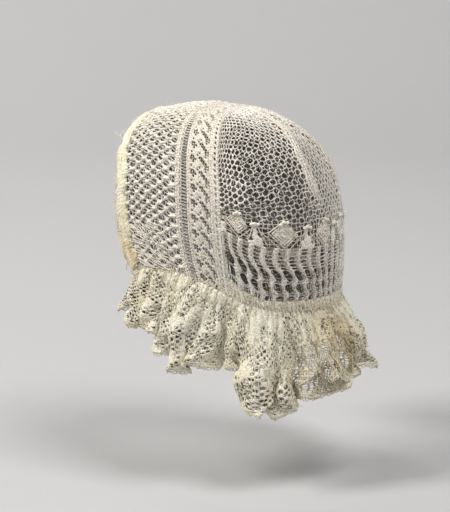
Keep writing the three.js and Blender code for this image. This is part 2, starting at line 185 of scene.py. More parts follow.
def hoop(share):
    """Half hoop that ends on the gather line."""
    return cut_below(side_view_line(share), gather_height)


def neck_line(height, last_y, turns=400):
    """Line round the neck from the centre back, as far forward as last_y."""
    angle = np.linspace(0, np.pi, turns)
    points = np.stack([HALF_WIDTH * np.sin(angle), HALF_LENGTH * np.cos(angle), 0 * angle], -1)
    for _ in range(14):
        points[:, 2] = height(points[:, 1])
        points[:, :2] /= level(points)[:, None]
    return points[points[:, 1] >= last_y]


SIDE_SPAN = HALF_LENGTH * float(along(BACK_SEAM, 0.0) - along(FRONT_EDGE, 0.0))
seam_line = hoop(1.0)
lace_end_share = length_of(cut_below(seam_line, lace_end_height)) / length_of(seam_line)
gather_line = neck_line(gather_height, hoop(0.0)[-1, 1])
lace_end = neck_line(lace_end_height, by_length(seam_line, np.array([lace_end_share]))[0, 1])
nape_end = neck_line(gather_height, seam_line[-1, 1])
print("front to seam", round(SIDE_SPAN), "mm, half ruffle line", round(length_of(gather_line)))


# %% [markdown]
# ## Charts
# A knitter reads a chart: so many stitches across, so many rows down. Here a chart is a
# stretch of the form as a fine grid of points with an outward direction at each. Any
# stitch can then ask for its place by how far across and down it is, and how high it
# stands off the form. Everything that follows is drawn on such charts.

# %% A chart and its places
class Chart:
    """A grid of points with outward directions, read anywhere between its knots."""

    def __init__(self, points, direction=None):
        self.points = points
        self.direction = outward(points) if direction is None else direction
        self.size = np.array(points.shape[:2]) - 1

    def read(self, table, across, down):
        """Straight mix of the four knots round each place."""
        a = np.clip((np.asarray(across) + 1) / 2, 0, 1) * self.size[0]
        d = np.clip(down, 0, 1) * self.size[1]
        i = np.minimum(a.astype(int), self.size[0] - 1)
        j = np.minimum(d.astype(int), self.size[1] - 1)
        s, t = (a - i)[..., None], (d - j)[..., None]
        upper = (1 - s) * table[i, j] + s * table[i + 1, j]
        lower = (1 - s) * table[i, j + 1] + s * table[i + 1, j + 1]
        return (1 - t) * upper + t * lower

    def place(self, across, down, lift=0.0):
        """Points at shares across (-1 to 1) and down (0 to 1), lifted off the form."""
        across, down = np.broadcast_arrays(across, down)
        away = unit(self.read(self.direction, across, down))
        return self.read(self.points, across, down) + away * np.asarray(lift)[..., None]

    def up(self, across, down):
        """Outward directions at such places."""
        return unit(self.read(self.direction, across, down))


def mirrored(half):
    """A whole grid from its left half, whose first row lies on the middle plane."""
    other = half[:0:-1] * np.array([-1.0, 1, 1])
    return np.concatenate([other, half], axis=0)


def crown_chart(knots=61):
    """From ear to ear over the crown: down runs from the front edge to the seam."""
    shares = np.linspace(0, 1, 181)
    columns = [by_length(hoop(s), shares) for s in np.linspace(0, 1, knots)]
    return Chart(mirrored(np.stack(columns, axis=1)))


# the share of each seam that lies along the top of the back
PANEL_TOP = 0.30


def centre_line(turns=200):
    """Middle of the back, from the seam's top to the end of the open lace."""
    t = np.linspace(0, 1, turns)[:, None]
    return settle((1 - t) * seam_line[0] + t * lace_end[0])


def back_chart(knots=121):
    """The back between the seams: a patch filled in from its four border lines."""
    t = np.linspace(0, 1, 101)[:, None, None]
    d = np.linspace(0, 1, knots)[None, :, None]
    top = by_length(seam_line, PANEL_TOP * t[:, 0, 0])[:, None]
    foot = by_length(lace_end, t[:, 0, 0])[:, None]
    middle = by_length(centre_line(), d[0, :, 0])[None]
    side = by_length(seam_line, PANEL_TOP + (lace_end_share - PANEL_TOP) * d[0, :, 0])[None]
    blend = (1 - t) * middle + t * side + (1 - d) * top + d * foot
    blend -= (1 - t) * ((1 - d) * top[0] + d * foot[0]) + t * ((1 - d) * top[-1] + d * foot[-1])
    return Chart(mirrored(settle(blend)))


def nape_chart(knots=21):
    """The gathered strip between the open lace and the ruffle."""
    t = np.linspace(0, 1, 101)[:, None, None]
    d = np.linspace(0, 1, knots)[None, :, None]
    upper, lower = (by_length(line, t[:, 0, 0])[:, None] for line in (lace_end, nape_end))
    side = by_length(seam_line, lace_end_share + (1 - lace_end_share) * d[0, :, 0])[None]
    straight = (1 - d) * upper[-1] + d * lower[-1]
    return Chart(mirrored(settle((1 - d) * upper + d * lower + t * (side - straight))))


crown, back, nape = crown_chart(), back_chart(), nape_chart()
CROWN_LENGTH = length_of(hoop(0.5))
BACK_DOWN = length_of(centre_line())
BACK_HALF = length_of(lace_end)
print("half hoop", round(CROWN_LENGTH), "back", round(BACK_DOWN), "by", round(2 * BACK_HALF))

# %% [markdown]
# ## The ruffle's own chart
# The ruffle isn't on the form: it hangs from the gather line and swings out in folds. A
# short table gives, from the right cheek round the back to the left cheek, how far each
# fold's lower edge stands out, hangs down and leans forward. Between the rows the table
# is read smoothly, and small flutes, gathers and a sideways sway are added by waves.

# %% Folds of the ruffle
RUFFLE_DEPTH = 80.0
RUFFLE_FLARE = 30.0
FLARE_POWER = 0.75
RIPPLE_PITCH = 17.0
RIPPLE_RISE = 4.4
RUFFLE_GAP = 0.45
RUFFLE_FOLDS = np.array([
    # at, out, drop, lean
    (-1.00, 0.15, 0.46, 0.00),
    (-0.88, 0.60, 0.60, 0.06),
    (-0.75, 0.20, 0.66, 0.10),
    (-0.61, 0.75, 0.80, 0.10),
    (-0.51, 0.55, 0.76, 0.06),
    (-0.40, 0.88, 0.70, 0.04),
    (-0.26, 0.50, 0.68, 0.02),
    (-0.12, 0.74, 0.60, 0.00),
    (0.00, 0.66, 0.60, 0.00),
    (0.12, 0.80, 0.72, 0.00),
    (0.22, 0.42, 0.84, 0.02),
    (0.33, 0.75, 1.00, 0.04),
    (0.41, 0.56, 0.94, 0.06),
    (0.46, 0.16, 0.66, 0.08),
    (0.55, 0.30, 0.72, 0.12),
    (0.61, 0.50, 0.80, 0.14),
    (0.66, 0.64, 0.84, 0.15),
    (0.72, 0.56, 0.82, 0.14),
    (0.77, 0.40, 0.74, 0.12),
    (0.82, 0.26, 0.62, 0.08),
    (0.89, 0.36, 0.58, 0.03),
    (1.00, 0.12, 0.44, 0.00),
])
GATHER_PITCH = 4.3
GATHER_RISE = 0.55
SWAY = 2.0
EDGE_SCALLOP = 1.8
EDGE_PITCH = 14.0
CURL_OUT = 1.7
CURL_UP = 1.1
STANDING_FOLD = 7.0
STANDING_AT = 12
STANDING_WIDTH = 4.5
CREASES = 26
CREASE_SIZE = 0.088
crease_length = np.geomspace(7, 46, CREASES)
crease_angle = rng.uniform(-0.55, 0.55, CREASES)
crease_phase = rng.uniform(0, 2 * np.pi, (2, CREASES))


def crumple(arc, fall, which):
    """Sum of waves of many lengths and slants, the long ones high and the short ones low."""
    total = 0.0 * arc
    for length, angle, phase in zip(crease_length, crease_angle, crease_phase[which]):
        turn = 2 * np.pi * (np.cos(angle) * arc + np.sin(angle) * fall) / length
        total = total + CREASE_SIZE * length**0.8 * np.sin(turn + phase)
    return total


def ruffle_points(across, down):
    """Gather line, plus outward flare, forward lean and drop, plus waves that grow down."""
    t = np.abs(across)
    top = by_length(gather_line, t.ravel()).reshape(*t.shape, 3)
    away = unit(outward(top) * np.array([1, 1, 0]))
    forward = np.stack([away[..., 1], -away[..., 0], 0 * t], axis=-1)
    out, drop, lean = (along(RUFFLE_FOLDS, across, k) for k in (1, 2, 3))
    arc = across * length_of(gather_line)
    fall = RUFFLE_GAP + (RUFFLE_DEPTH * drop - RUFFLE_GAP) * down
    ripple = RIPPLE_RISE * down * np.cos(2 * np.pi * arc / RIPPLE_PITCH)
    gathers = np.cos(2 * np.pi * arc / GATHER_PITCH + 2 * np.sin(arc / 9))
    gathers = GATHER_RISE * np.exp(-4 * down) * gathers
    flare = RUFFLE_FLARE * out * np.sin(down * np.pi / 2) ** FLARE_POWER
    curl = smooth(0.80, 1.0, down) * (1 + np.sin(arc / 11.0 + 2 * np.sin(arc / 31.0)))
    flare = flare + ripple + gathers + down * crumple(arc, fall, 0) + CURL_OUT * curl
    beside = (arc - STANDING_AT - 9 * np.sin(2 * down)) / STANDING_WIDTH
    flare = flare + STANDING_FOLD * np.exp(-(beside**2)) * down**0.6
    sway = SWAY * np.sin(2 * np.pi * arc / RIPPLE_PITCH + 0.6) + crumple(arc, fall, 1)
    scallop = EDGE_SCALLOP * down**5 * (np.cos(2 * np.pi * arc / EDGE_PITCH) + np.sin(arc / 3.7 + 1))
    top = top + away * flare[..., None]
    top = top + forward * (RUFFLE_DEPTH * lean * down + down * sway)[..., None]
    top[..., 2] -= fall + scallop - CURL_UP * curl
    top[..., 0] *= np.where(across < 0, -1, 1)
    return top


def ruffle_chart(knots=(1201, 121)):
    """The ruffle's points, with directions square to its sheet."""
    spans = (np.linspace(a, 1, n) for a, n in zip((-1, 0), knots))
    points = ruffle_points(*np.meshgrid(*spans, indexing="ij"))
    square = unit(np.cross(np.gradient(points, axis=1), np.gradient(points, axis=0)))
    away = unit(outward(points) * np.array([1, 1, 0]))
    facing = np.sign((square * away).sum(-1)[..., :1].mean())
    return Chart(points, square * facing)


ruffle = ruffle_chart()
print("ruffle edge", round(length_of(ruffle.points[:, -1])), "mm round")


# %% [markdown]
# ## Knitting as a mesh
# A knitted cloth is a net of stitches. Each stitch here is a cell between four corners
# and four edge middles. A plain stitch is a small cushion: its middle stands up. A
# yarn-over has a ring of eight points inside the cell, where the upper and lower faces
# meet, so the yarn between two holes is rounded. The whole piece is one closed mesh,
# worked out as arrays: no loop runs over stitches.

# %% Gathering points and faces
AROUND = np.array([(0, 0), (1, 0), (2, 0), (2, 1), (2, 2), (1, 2), (0, 2), (0, 1)])
FUNNEL = 0.35
# Painted light of the lining side of the brow and band: low, so it is painted as deep shade.
INSIDE_PAINTED_LIGHT = 0.2


class Work:
    """Collects points in millimetres and four-sided faces, and makes one object of them."""

    def __init__(self, name):
        self.name = name
        self.points, self.faces, self.crests, self.count = [], [], [], 0

    def add(self, points, faces, crest):
        """Takes one more batch, whose faces count from its own first point."""
        points = points.reshape(-1, 3)
        self.points.append(points)
        self.faces.append(faces.reshape(-1, 4) + self.count)
        self.crests.append(np.ravel(crest) * np.ones(len(points)))
        self.count += len(points)

    def done(self, finish, node_name, levels=0):
        """Makes the object, gives it its finish and hides the solid it stands for."""
        points, faces = np.concatenate(self.points), np.concatenate(self.faces)
        used, faces = np.unique(faces, return_inverse=True)
        faces = faces.reshape(-1, 4)
        points = points[used] * MM - np.array([0, 0, CROWN_HEIGHT * MM])
        mesh = bpy.data.meshes.new(self.name)
        mesh.vertices.add(len(used))
        mesh.vertices.foreach_set("co", points.astype(np.float32).ravel())
        mesh.loops.add(faces.size)
        mesh.loops.foreach_set("vertex_index", faces.astype(np.int32).ravel())
        mesh.polygons.add(len(faces))
        mesh.polygons.foreach_set("loop_start", np.arange(0, faces.size, 4, dtype=np.int32))
        mesh.polygons.foreach_set("use_smooth", np.ones(len(faces), dtype=bool))
        mesh.update(calc_edges=True)
        # Each point's painted light level: the material paints shade where it is low.
        crest = mesh.attributes.new("crest", "FLOAT", "POINT")
        crest.data.foreach_set("value", np.concatenate(self.crests)[used].astype(np.float32))
        mesh.materials.append(finish)
        piece = bpy.data.objects.new(self.name, mesh)
        bpy.context.scene.collection.objects.link(piece)
        if levels:
            rounder = piece.modifiers.new("rounder", "SUBSURF")
            rounder.levels = rounder.render_levels = levels
        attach(piece, "root")
        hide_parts(node_name)
        print(self.name, 2 * len(faces) * 4**levels, "triangles")
        return piece


def stitch_grid(across, down):
    """Half-stitch grid from the places of the stitch borders: middles are put between."""
    def halved(borders):
        return np.insert(borders, range(1, len(borders)), (borders[1:] + borders[:-1]) / 2)
    return np.meshgrid(halved(across), halved(down), indexing="ij")


def knit(work, chart, grid, holes, thick, lift, plump=0.0, corner=0.8, relief=0.0, ratio=(1, 1),
         thin=0.0, inner=0.5, painted_outer_light=1.0):
    """Cells of a half-stitch grid: cushions where holes is 0, else rings of that share.

    The ratio makes rings narrower across or down, and corner draws in their corners. The
    rings lie nearer the inner face, so each hole is a small funnel, and the rings are
    painted as full shade. Where the cloth is thin, up to 1, that painted shade is lifted:
    painted light for the light that comes through thin cloth. The last two arguments give
    the painted light of the inner and the outer face: lower is painted darker, and the
    inner face is painted as in shade where the lining side would be in the dark."""
    across, down = grid
    size = across.size
    relief = np.zeros(across.shape) + relief
    height = relief.copy()
    height[1::2, 1::2] += plump
    upper = chart.place(across, down, lift + thick / 2 + height)
    lower = chart.place(across, down, lift - thick / 2)
    knots = np.arange(size).reshape(across.shape)
    i, j = np.nonzero(holes > 0)
    border = knots[2 * i[:, None] + AROUND[:, 0], 2 * j[:, None] + AROUND[:, 1]]
    middle = knots[2 * i + 1, 2 * j + 1][:, None]
    share = holes[i, j][:, None] * np.where(np.arange(8) % 2 == 0, corner, 1.0)
    place = []
    for table, narrow in zip((across.ravel(), down.ravel()), ratio):
        narrow = np.broadcast_to(narrow, holes.shape)[i, j][:, None]
        place.append(table[middle] + (table[border] - table[middle]) * share * narrow)
    ring = chart.place(*place, lift - FUNNEL * thick + relief.ravel()[border])
    # Painted light of the rings: 0, full painted shade, except where the cloth is thin.
    painted_ring_light = np.broadcast_to(thin, holes.shape)[i, j][:, None] + 0.0 * border
    rings = 2 * size + np.arange(border.size).reshape(border.shape)
    follow, ring_follow = np.roll(border, -1, axis=1), np.roll(rings, -1, axis=1)
    faces = [np.stack([border, follow, ring_follow, rings], -1),
             np.stack([follow + size, border + size, rings, ring_follow], -1)]
    i, j = np.nonzero(holes <= 0)
    for a, d in ((0, 0), (1, 0), (0, 1), (1, 1)):
        p = knots[2 * i + a, 2 * j + d]
        q, r, s = p + across.shape[1], p + across.shape[1] + 1, p + 1
        faces.append(np.stack([p, q, r, s], -1))
        faces.append(np.stack([s, r, q, p], -1) + size)
    for line in (knots[:, 0], knots[-1], knots[::-1, -1], knots[0, ::-1]):
        faces.append(np.stack([line[1:], line[:-1], line[:-1] + size, line[1:] + size], -1))
    faces = np.concatenate([f.reshape(-1, 4) for f in faces])
    square = np.cross(np.gradient(upper, axis=0), np.gradient(upper, axis=1))
    faces = faces if (square * chart.up(across, down)).sum() > 0 else faces[:, ::-1]
    points = np.concatenate([p.reshape(-1, 3) for p in (upper, lower, ring)])
    # Painted light levels of the outer face, the inner face and the rings.
    crests = [np.ravel(painted_outer_light + 0 * across), np.full(size, inner), painted_ring_light.ravel()]
    work.add(points, faces, np.concatenate(crests))


# %% [markdown]
# ## Yarn as cords
# Loose strands, raised lines, bobbles and fuzz are cords along paths. All the paths of
# one kind are worked out together: a ring of points stands square to the path at each of
# its points, and four-sided faces join the rings and close the ends. A thin cord has four
# points round it. A thicker one has more, and its stitches are a pattern of small bumps.
# Strands behind the holes, painted as full shade, keep some depth in lace that light shines through.

# %% Cords along paths
CHEVRON_PITCH = 2.3


def chevrons(length, turn):
    """Stitches of a cord: a wave along it, later at the sides than in the middle."""
    later = 0.32 * np.abs(np.cos(turn))
    return 1 + 0.16 * np.cos(2 * np.pi * (length / CHEVRON_PITCH - later))


def yarn(work, paths, ups, wide, tall, sides=4, pattern=None, crest=0.8):
    """Cords along paths of shape (count, points, 3): an ellipse carried along each one."""
    ahead = unit(np.gradient(paths, axis=1))
    side = unit(np.cross(ahead, ups))
    rise = np.cross(side, ahead)
    turn = 2 * np.pi * np.arange(sides) / sides
    steps = np.linalg.norm(np.diff(paths, axis=1), axis=-1)
    length = np.concatenate([0 * steps[:, :1], np.cumsum(steps, axis=1)], axis=1)[..., None]
    size = np.ones(length.shape) if pattern is None else pattern(length, turn)
    wide, tall = (np.broadcast_to(r, paths.shape[:2])[..., None] for r in (wide, tall))
    points = paths[:, :, None] + side[:, :, None] * (wide * size * np.cos(turn))[..., None]
    points = points + rise[:, :, None] * (tall * size * np.sin(turn))[..., None]
    index = np.arange(points[..., 0].size).reshape(points.shape[:3])
    a, b = index[:, :-1], index[:, 1:]
    walls = np.stack([a, b, np.roll(b, -1, axis=2), np.roll(a, -1, axis=2)], axis=-1)
    faces = [walls, closed(index[:, 0]), closed(index[:, -1, ::-1])]
    work.add(points, np.concatenate([f.reshape(-1, 4) for f in faces]), crest)


def closed(rings):
    """Faces that close the end rings of cords, an even number of points each."""
    n = rings.shape[-1]
    k = np.arange(n // 2 - 1)
    return np.stack([rings[:, k], rings[:, k + 1], rings[:, n - 2 - k], rings[:, n - 1 - k]], -1)


def laid(work, chart, across, down, lift, wide, tall=None, sides=4, pattern=None, crest=0.8):
    """Cords whose paths are given on a chart, as arrays of shape (count, points)."""
    across, down, lift = np.broadcast_arrays(across, down, lift)
    paths, ups = chart.place(across, down, lift), chart.up(across, down)
    yarn(work, paths, ups, wide, wide if tall is None else tall, sides, pattern, crest)


def stitched(work, chart, across, down, lift, wide, tall, crest=1.0):
    """Raised cords of chevron stitches along paths on a chart."""
    laid(work, chart, across, down, lift, wide, tall, sides=6, pattern=chevrons, crest=crest)


def across_holes(work, chart, grid, picked, lines, lift, radius, crest=0.8, points=4):
    """Strands over chosen holes: each line is (x0, y0, x1, y1) in a cell of -1 to 1."""
    i, j = np.nonzero(picked)
    t = np.linspace(0, 1, points)
    for x0, y0, x1, y1 in lines:
        x = (x0 + (x1 - x0) * t)[None] + rng.normal(0, 0.08, (len(i), 1))
        y = (y0 + (y1 - y0) * t)[None] + rng.normal(0, 0.08, (len(i), 1))
        place = []
        for table in grid:
            wide = (table[2 * i + 2, 2 * j + 1] - table[2 * i, 2 * j + 1]) / 2
            tall = (table[2 * i + 1, 2 * j + 2] - table[2 * i + 1, 2 * j]) / 2
            middle = table[2 * i + 1, 2 * j + 1]
            place.append(middle[:, None] + x * wide[:, None] + y * tall[:, None])
        laid(work, chart, *place, lift, radius, crest=crest)


def painted_shade_strands(work, chart, grid, picked, lines, lift, radius):
    """Straight strands under chosen holes, painted as full shade."""
    across_holes(work, chart, grid, picked, lines, lift, radius, crest=0.0, points=2)


# %% [markdown]
# ## Cotton
# The yarn is undyed cotton, washed many times, so it is cream and a little uneven, and
# it never shines much. Shade is painted into its colour: each mesh carries a painted
# light level, 0 in a hole, low on the lining side and on some strands, 1 on a stitch's
# back, and where it is low the colour is painted towards near black. Fibre and twist are
# a fine bump. Sums are written as plain Python: a small class adds the Math nodes.

# %% Shader sums
class Wire:
    """A varying number in a node tree. Sums of wires and numbers add Math nodes."""

    def __init__(self, tree, socket):
        self.tree, self.socket = tree, socket

    def sum(self, operation, *values):
        return node(self.tree, "ShaderNodeMath", {"operation": operation}, dict(enumerate(values)))

    def __add__(self, other):
        return self.sum("ADD", self, other)

    def __radd__(self, other):
        return self.sum("ADD", other, self)

    def __sub__(self, other):
        return self.sum("SUBTRACT", self, other)

    def __rsub__(self, other):
        return self.sum("SUBTRACT", other, self)

    def __mul__(self, other):
        return self.sum("MULTIPLY", self, other)

    def __rmul__(self, other):
        return self.sum("MULTIPLY", other, self)

    def between(self, low, high):
        """Eased step from 0 at low to 1 at high."""
        values = {"Value": self, "From Min": low, "From Max": high}
        kind = {"interpolation_type": "SMOOTHSTEP"}
        return node(self.tree, "ShaderNodeMapRange", kind, values)


def node(tree, kind, settings=None, values=None, output=0):
    """Any node: its settings first, then its sockets, each a number, a colour or a wire."""
    made = tree.nodes.new(kind)
    for name, setting in (settings or {}).items():
        setattr(made, name, setting)
    for name, value in (values or {}).items():
        if isinstance(value, Wire):
            tree.links.new(value.socket, made.inputs[name])
        else:
            made.inputs[name].default_value = value
    return Wire(tree, made.outputs[output])


def blended(tree, share, first, second):
    """Colour between two colours. The Mix node's colour sockets are its 6th and 7th."""
    kind = {"data_type": "RGBA"}
    return node(tree, "ShaderNodeMix", kind, {0: share, 6: first, 7: second}, output=2)


# %% [markdown]
# All the yarn is one kind of material with other numbers. Soft clouds mix a pale and a
# cream tone and bring in gold. Near given points it is yellowed or stained, and the gaps
# between small lumps of yarn get painted shade, as the hollows of the stitches do.

# %% The yarn's finish
# The second colour is near black painted shade, for hollows, gaps, the lining side and strands behind
# holes.
GOLD, PAINTED_SHADE = (0.79, 0.67, 0.44, 1), (0.060, 0.053, 0.047, 1)
STAIN = (0.60, 0.42, 0.20, 1)
FIBRES = 1500.0
PEBBLES = 825.0


def near(tree, place, centre, reach):
    """1 close to a point of the cap, falling to 0 at a distance in millimetres."""
    values = {0: place, 1: tuple(c * MM for c in centre)}
    distance = node(tree, "ShaderNodeVectorMath", {"operation": "DISTANCE"}, values, "Value")
    return 1 - distance.between(0.2 * reach * MM, reach * MM)


def cotton(name, pale, cream, yellow, speckle, spots=(), stains=()):
    """Cotton yarn: painted shade where its painted light is low, cream and gold in clouds, fibre as
    bump.

    Speckle is how much painted shade darkens the gaps between small lumps of the yarn. A
    spot is yellowed and a stain is brown: each has a centre, a reach and a strength."""
    material = bpy.data.materials.new(name)
    material.use_nodes = True
    tree = material.node_tree
    tree.nodes.clear()
    place = node(tree, "ShaderNodeTexCoord", output="Object")

    def cloud(scale, detail=2.0):
        values = {"Vector": place, "Scale": scale, "Detail": detail}
        return node(tree, "ShaderNodeTexNoise", None, values)

    crest = node(tree, "ShaderNodeAttribute", {"attribute_name": "crest"}, output="Fac")
    fibre, twist = cloud(FIBRES, 3.0), cloud(FIBRES / 2.6)
    values = {"Vector": place, "Scale": PEBBLES, "Randomness": 0.8}
    pebble = node(tree, "ShaderNodeTexVoronoi", None, values)
    aged = yellow * cloud(26.0).between(0.42, 0.68)
    for centre, reach, strength in spots:
        aged = aged + strength * near(tree, place, centre, reach)
    colour = blended(tree, cloud(140.0).between(0.35, 0.70), pale, cream)
    colour = blended(tree, node(tree, "ShaderNodeClamp", None, {"Value": aged}), colour, GOLD)
    for centre, reach, strength in stains:
        mark = strength * near(tree, place, centre, reach) * cloud(160.0).between(0.30, 0.62)
        colour = blended(tree, mark, colour, STAIN)
    # Painted shade: the colour goes towards near black where the painted light level is low and in
    # the gaps between small lumps.
    hollow = 1 - crest.between(0.02, 0.74)
    gaps = speckle * pebble.between(0.42, 0.75)
    colour = blended(tree, 0.92 * hollow + gaps - gaps * hollow, colour, PAINTED_SHADE)
    height = 0.35 * fibre + 0.4 * twist - 1.0 * pebble
    values = {"Strength": 0.7, "Distance": 0.6 * MM, "Height": height}
    surface = {
        "Base Color": colour,
        "Roughness": 0.78 + 0.15 * fibre,
        "Normal": node(tree, "ShaderNodeBump", None, values),
        "Sheen Weight": 0.25,
        "Sheen Roughness": 0.5,
        "Specular IOR Level": 0.25,
    }
    shader = node(tree, "ShaderNodeBsdfPrincipled", None, surface)
    output = tree.nodes.new("ShaderNodeOutputMaterial")
    tree.links.new(shader.socket, output.inputs["Surface"])
    return material


hem_cotton = cotton("hem_cotton", (0.97, 0.92, 0.74, 1), (0.93, 0.86, 0.63, 1), 0.25, 0.25,
                    stains=[((72, -46, -110), 26, 0.8), ((70, -53, -95), 16, 0.5)])
lace_cotton = cotton("lace_cotton", (0.91, 0.85, 0.75, 1), (0.85, 0.78, 0.66, 1), 0.14, 0.48)
# net_cotton is paler and wave_cotton darker than lace_cotton, to match how bright these parts look
# under the light: painted light on the net and painted shade on the waves.
net_cotton = cotton("net_cotton", (0.98, 0.93, 0.84, 1), (0.95, 0.89, 0.78, 1), 0.06, 0.32)
wave_cotton = cotton("wave_cotton", (0.83, 0.78, 0.70, 1), (0.76, 0.71, 0.62, 1), 0.06, 0.55)
bobble_cotton = cotton("bobble_cotton", (0.95, 0.92, 0.82, 1), (0.90, 0.86, 0.74, 1), 0.0, 0.1)
nape_cotton = cotton("nape_cotton", (0.97, 0.92, 0.78, 1), (0.91, 0.84, 0.67, 1), 0.25, 0.38)
ruffle_cotton = cotton("ruffle_cotton", (0.98, 0.93, 0.77, 1), (0.93, 0.86, 0.67, 1), 0.26, 0.32,
                       spots=[((26, 96, -205), 62, 0.46), ((10, 118, -165), 42, 0.75)])

# %% [markdown]
# ## Rolled hem
# The cap's front edge is turned back on itself and rolled, so it reads as a thick soft
# cord rather than as a cloth. It is one long tube, wider than it is high, with slanting
# stitches wound round it. Four wandering rows of stitches lie on it, and small points of
# yarn stand on its outer edge.

# %% Hem
HEM_WIDTH = 12.5
HEM_SCALLOP = 1.2
SCALLOP_PITCH = 11.0
HEM_STITCH = 2.7
HEM_ROWS = ((2.6, 0.0), (5.0, 1.7), (7.2, 3.1), (9.4, 4.4))
PICOT_PITCH = 3.1
FRONT_LENGTH = 2 * length_of(hoop(0.0))


def distance_share(distance):
    """Distance back from the front edge at ear height, as a share of the crown chart."""
    return distance / SIDE_SPAN


def wound(length, turn):
    """Slanting stitches: a wave along the cord whose phase turns with its section."""
    slant = np.cos(2 * np.pi * length / HEM_STITCH + 3 * turn)
    folds = 0.06 * np.sin(2 * np.pi * length / 23 + turn) + 0.05 * np.sin(length / 5.3 + 2 * turn)
    return 1 + 0.07 * slant + folds


def hem():
    """A flattened cord along the front edge, with rows of stitches and with picots."""
    work = Work("rolled_hem")
    t = np.linspace(-1, 1, 760)[None]
    arc = t * FRONT_LENGTH / 2
    low = smooth(0.45, 0.9, np.abs(t))
    wander = 0.9 * np.sin(arc / 17.0 + 2) + 0.6 * np.sin(arc / 6.1 + 1)
    wander = wander + 0.3 * np.sin(arc / 2.7) + 1.3 * low
    middle = HEM_WIDTH / 2 + HEM_SCALLOP / 2 * np.cos(2 * np.pi * arc / SCALLOP_PITCH) + wander
    half = 3.8 + 1.3 * smooth(0.15, 0.5, np.abs(t)) + 1.2 * low
    half = half + 0.5 * np.sin(arc / 9.0) + 0.35 * np.sin(arc / 3.1)
    tall = 2.6 + 0.45 * np.sin(arc / 7.3 + 1) + 0.2 * np.sin(arc / 2.3)
    laid(work, crown, t, distance_share(middle), 1.7, half, tall, sides=18, pattern=wound, crest=0.75)
    for row, phase in HEM_ROWS:
        off = row + wander + 1.1 * np.sin(arc / 12.0 + phase) + 0.5 * np.sin(arc / 4.7 + 2 * phase)
        lift = 3.3 - 0.075 * (off - HEM_WIDTH / 2) ** 2 + 0.5 * np.sin(arc / 5.1 + phase)
        wide = 0.95 + 0.3 * np.sin(arc / 8.0 + 3 * phase)
        stitched(work, crown, t, distance_share(off), lift, wide, tall=0.9, crest=0.95)
    count = int(FRONT_LENGTH / PICOT_PITCH)
    root = np.linspace(-0.995, 0.995, count)[:, None]
    lean = rng.normal(0, 0.002, (count, 1))
    out = np.array([[1.2, 0.2, -0.9, -0.6, 0.6]])
    sway = np.array([[-0.9, -0.7, 0.0, 0.7, 0.9]]) / FRONT_LENGTH * 2
    near_edge = HEM_SCALLOP / 2 * np.cos(np.pi * root * FRONT_LENGTH / SCALLOP_PITCH)
    reach = distance_share(out * rng.uniform(0.6, 1.3, (count, 1)) + near_edge)
    laid(work, crown, root + sway + lean, reach, lift=1.4, wide=0.42)
    work.done(hem_cotton, "front_hem")


hem()

# %% [markdown]
# ## Fuzz
# Single fibres that stand out of old yarn catch the light at the edges. Each is a hair
# of three points, thinner than a quarter of a millimetre, with a random lean. Three
# longer threads, frayed from the hem's edge, curl away from it.

# %% Hairs
HAIR_RADIUS = 0.11
STRAYS = (
    # place along the hem, lift, and the way the thread goes in millimetres
    (0.33, 1.5, (1.4, -4.6, 5.4)),
    (0.33, 1.5, (1.0, -1.6, 4.0)),
    (0.97, 1.0, (0.4, -1.0, -6.5)),
)
STRAY_LENGTH = 1.3
STRAY_RADIUS = 0.26
STRAY_CURL = np.array((0.5, -0.4, 0.3))


def hairs(work, chart, count, across, down, lift, reach):
    """Short curved hairs rooted at random places between the limits given."""
    a = rng.uniform(*across, count)
    d = rng.uniform(*down, count)
    root, up = chart.place(a, d, lift), chart.up(a, d)
    lean = rng.normal(0, 1, (count, 3))
    lean = unit(lean - 0.6 * up * (lean * up).sum(-1, keepdims=True))
    long = reach * rng.uniform(0.5, 1.4, (count, 1))
    t = np.linspace(0, 1, 3)[:, None, None]
    path = root + up * long * t * (1 - 0.3 * t) + lean * long * (0.2 * t + 0.9 * t * t)
    path = np.swapaxes(path, 0, 1)
    ups = np.broadcast_to(lean[:, None], path.shape)
    yarn(work, path, ups, HAIR_RADIUS, HAIR_RADIUS, crest=0.9)


def hem_fuzz():
    """Hairs all over the hem, and its few long stray threads."""
    work = Work("hem_fuzz")
    hairs(work, crown, 1500, (-1, 1), (0.0, distance_share(HEM_WIDTH)), lift=2.4, reach=2.1)
    t = np.linspace(0, 1, 9)[None]
    for at, lift, way in STRAYS:
        root = crown.place(at + 0 * t, 0 * t, lift)
        path = root + t[..., None] * np.array(way) * STRAY_LENGTH
        path = path + np.sin(3 * t)[..., None] * STRAY_CURL
        ups = crown.up(at + 0 * t, 0 * t)
        yarn(work, path, ups, STRAY_RADIUS, STRAY_RADIUS, sides=6, crest=1.0)
    work.done(hem_cotton, "front_hem")


hem_fuzz()

# %% [markdown]
# ## Brow lace
# Between the hem and the band the knitter made a yarn-over in every second stitch and
# shifted it by one stitch in the next row. The result is a chessboard of holes and small
# raised knots. The holes are wider than their stitches, so they push the knots narrow.
# Over each hole lies a thread. Behind it, thin strands painted as full shade stand for the
# depth that the hollow of a worn cap would show.

# %% A chessboard of holes
BAND_WIDTH = 35.5
BAND_START = SIDE_SPAN - BAND_WIDTH
BROW_START = 9.8
BROW_CELL = 3.9
BROW_COLUMNS = 9
KNOT = np.array([0.35, 1.0, 1.25, 1.0, 0.35])
PULLED_THREADS = 170


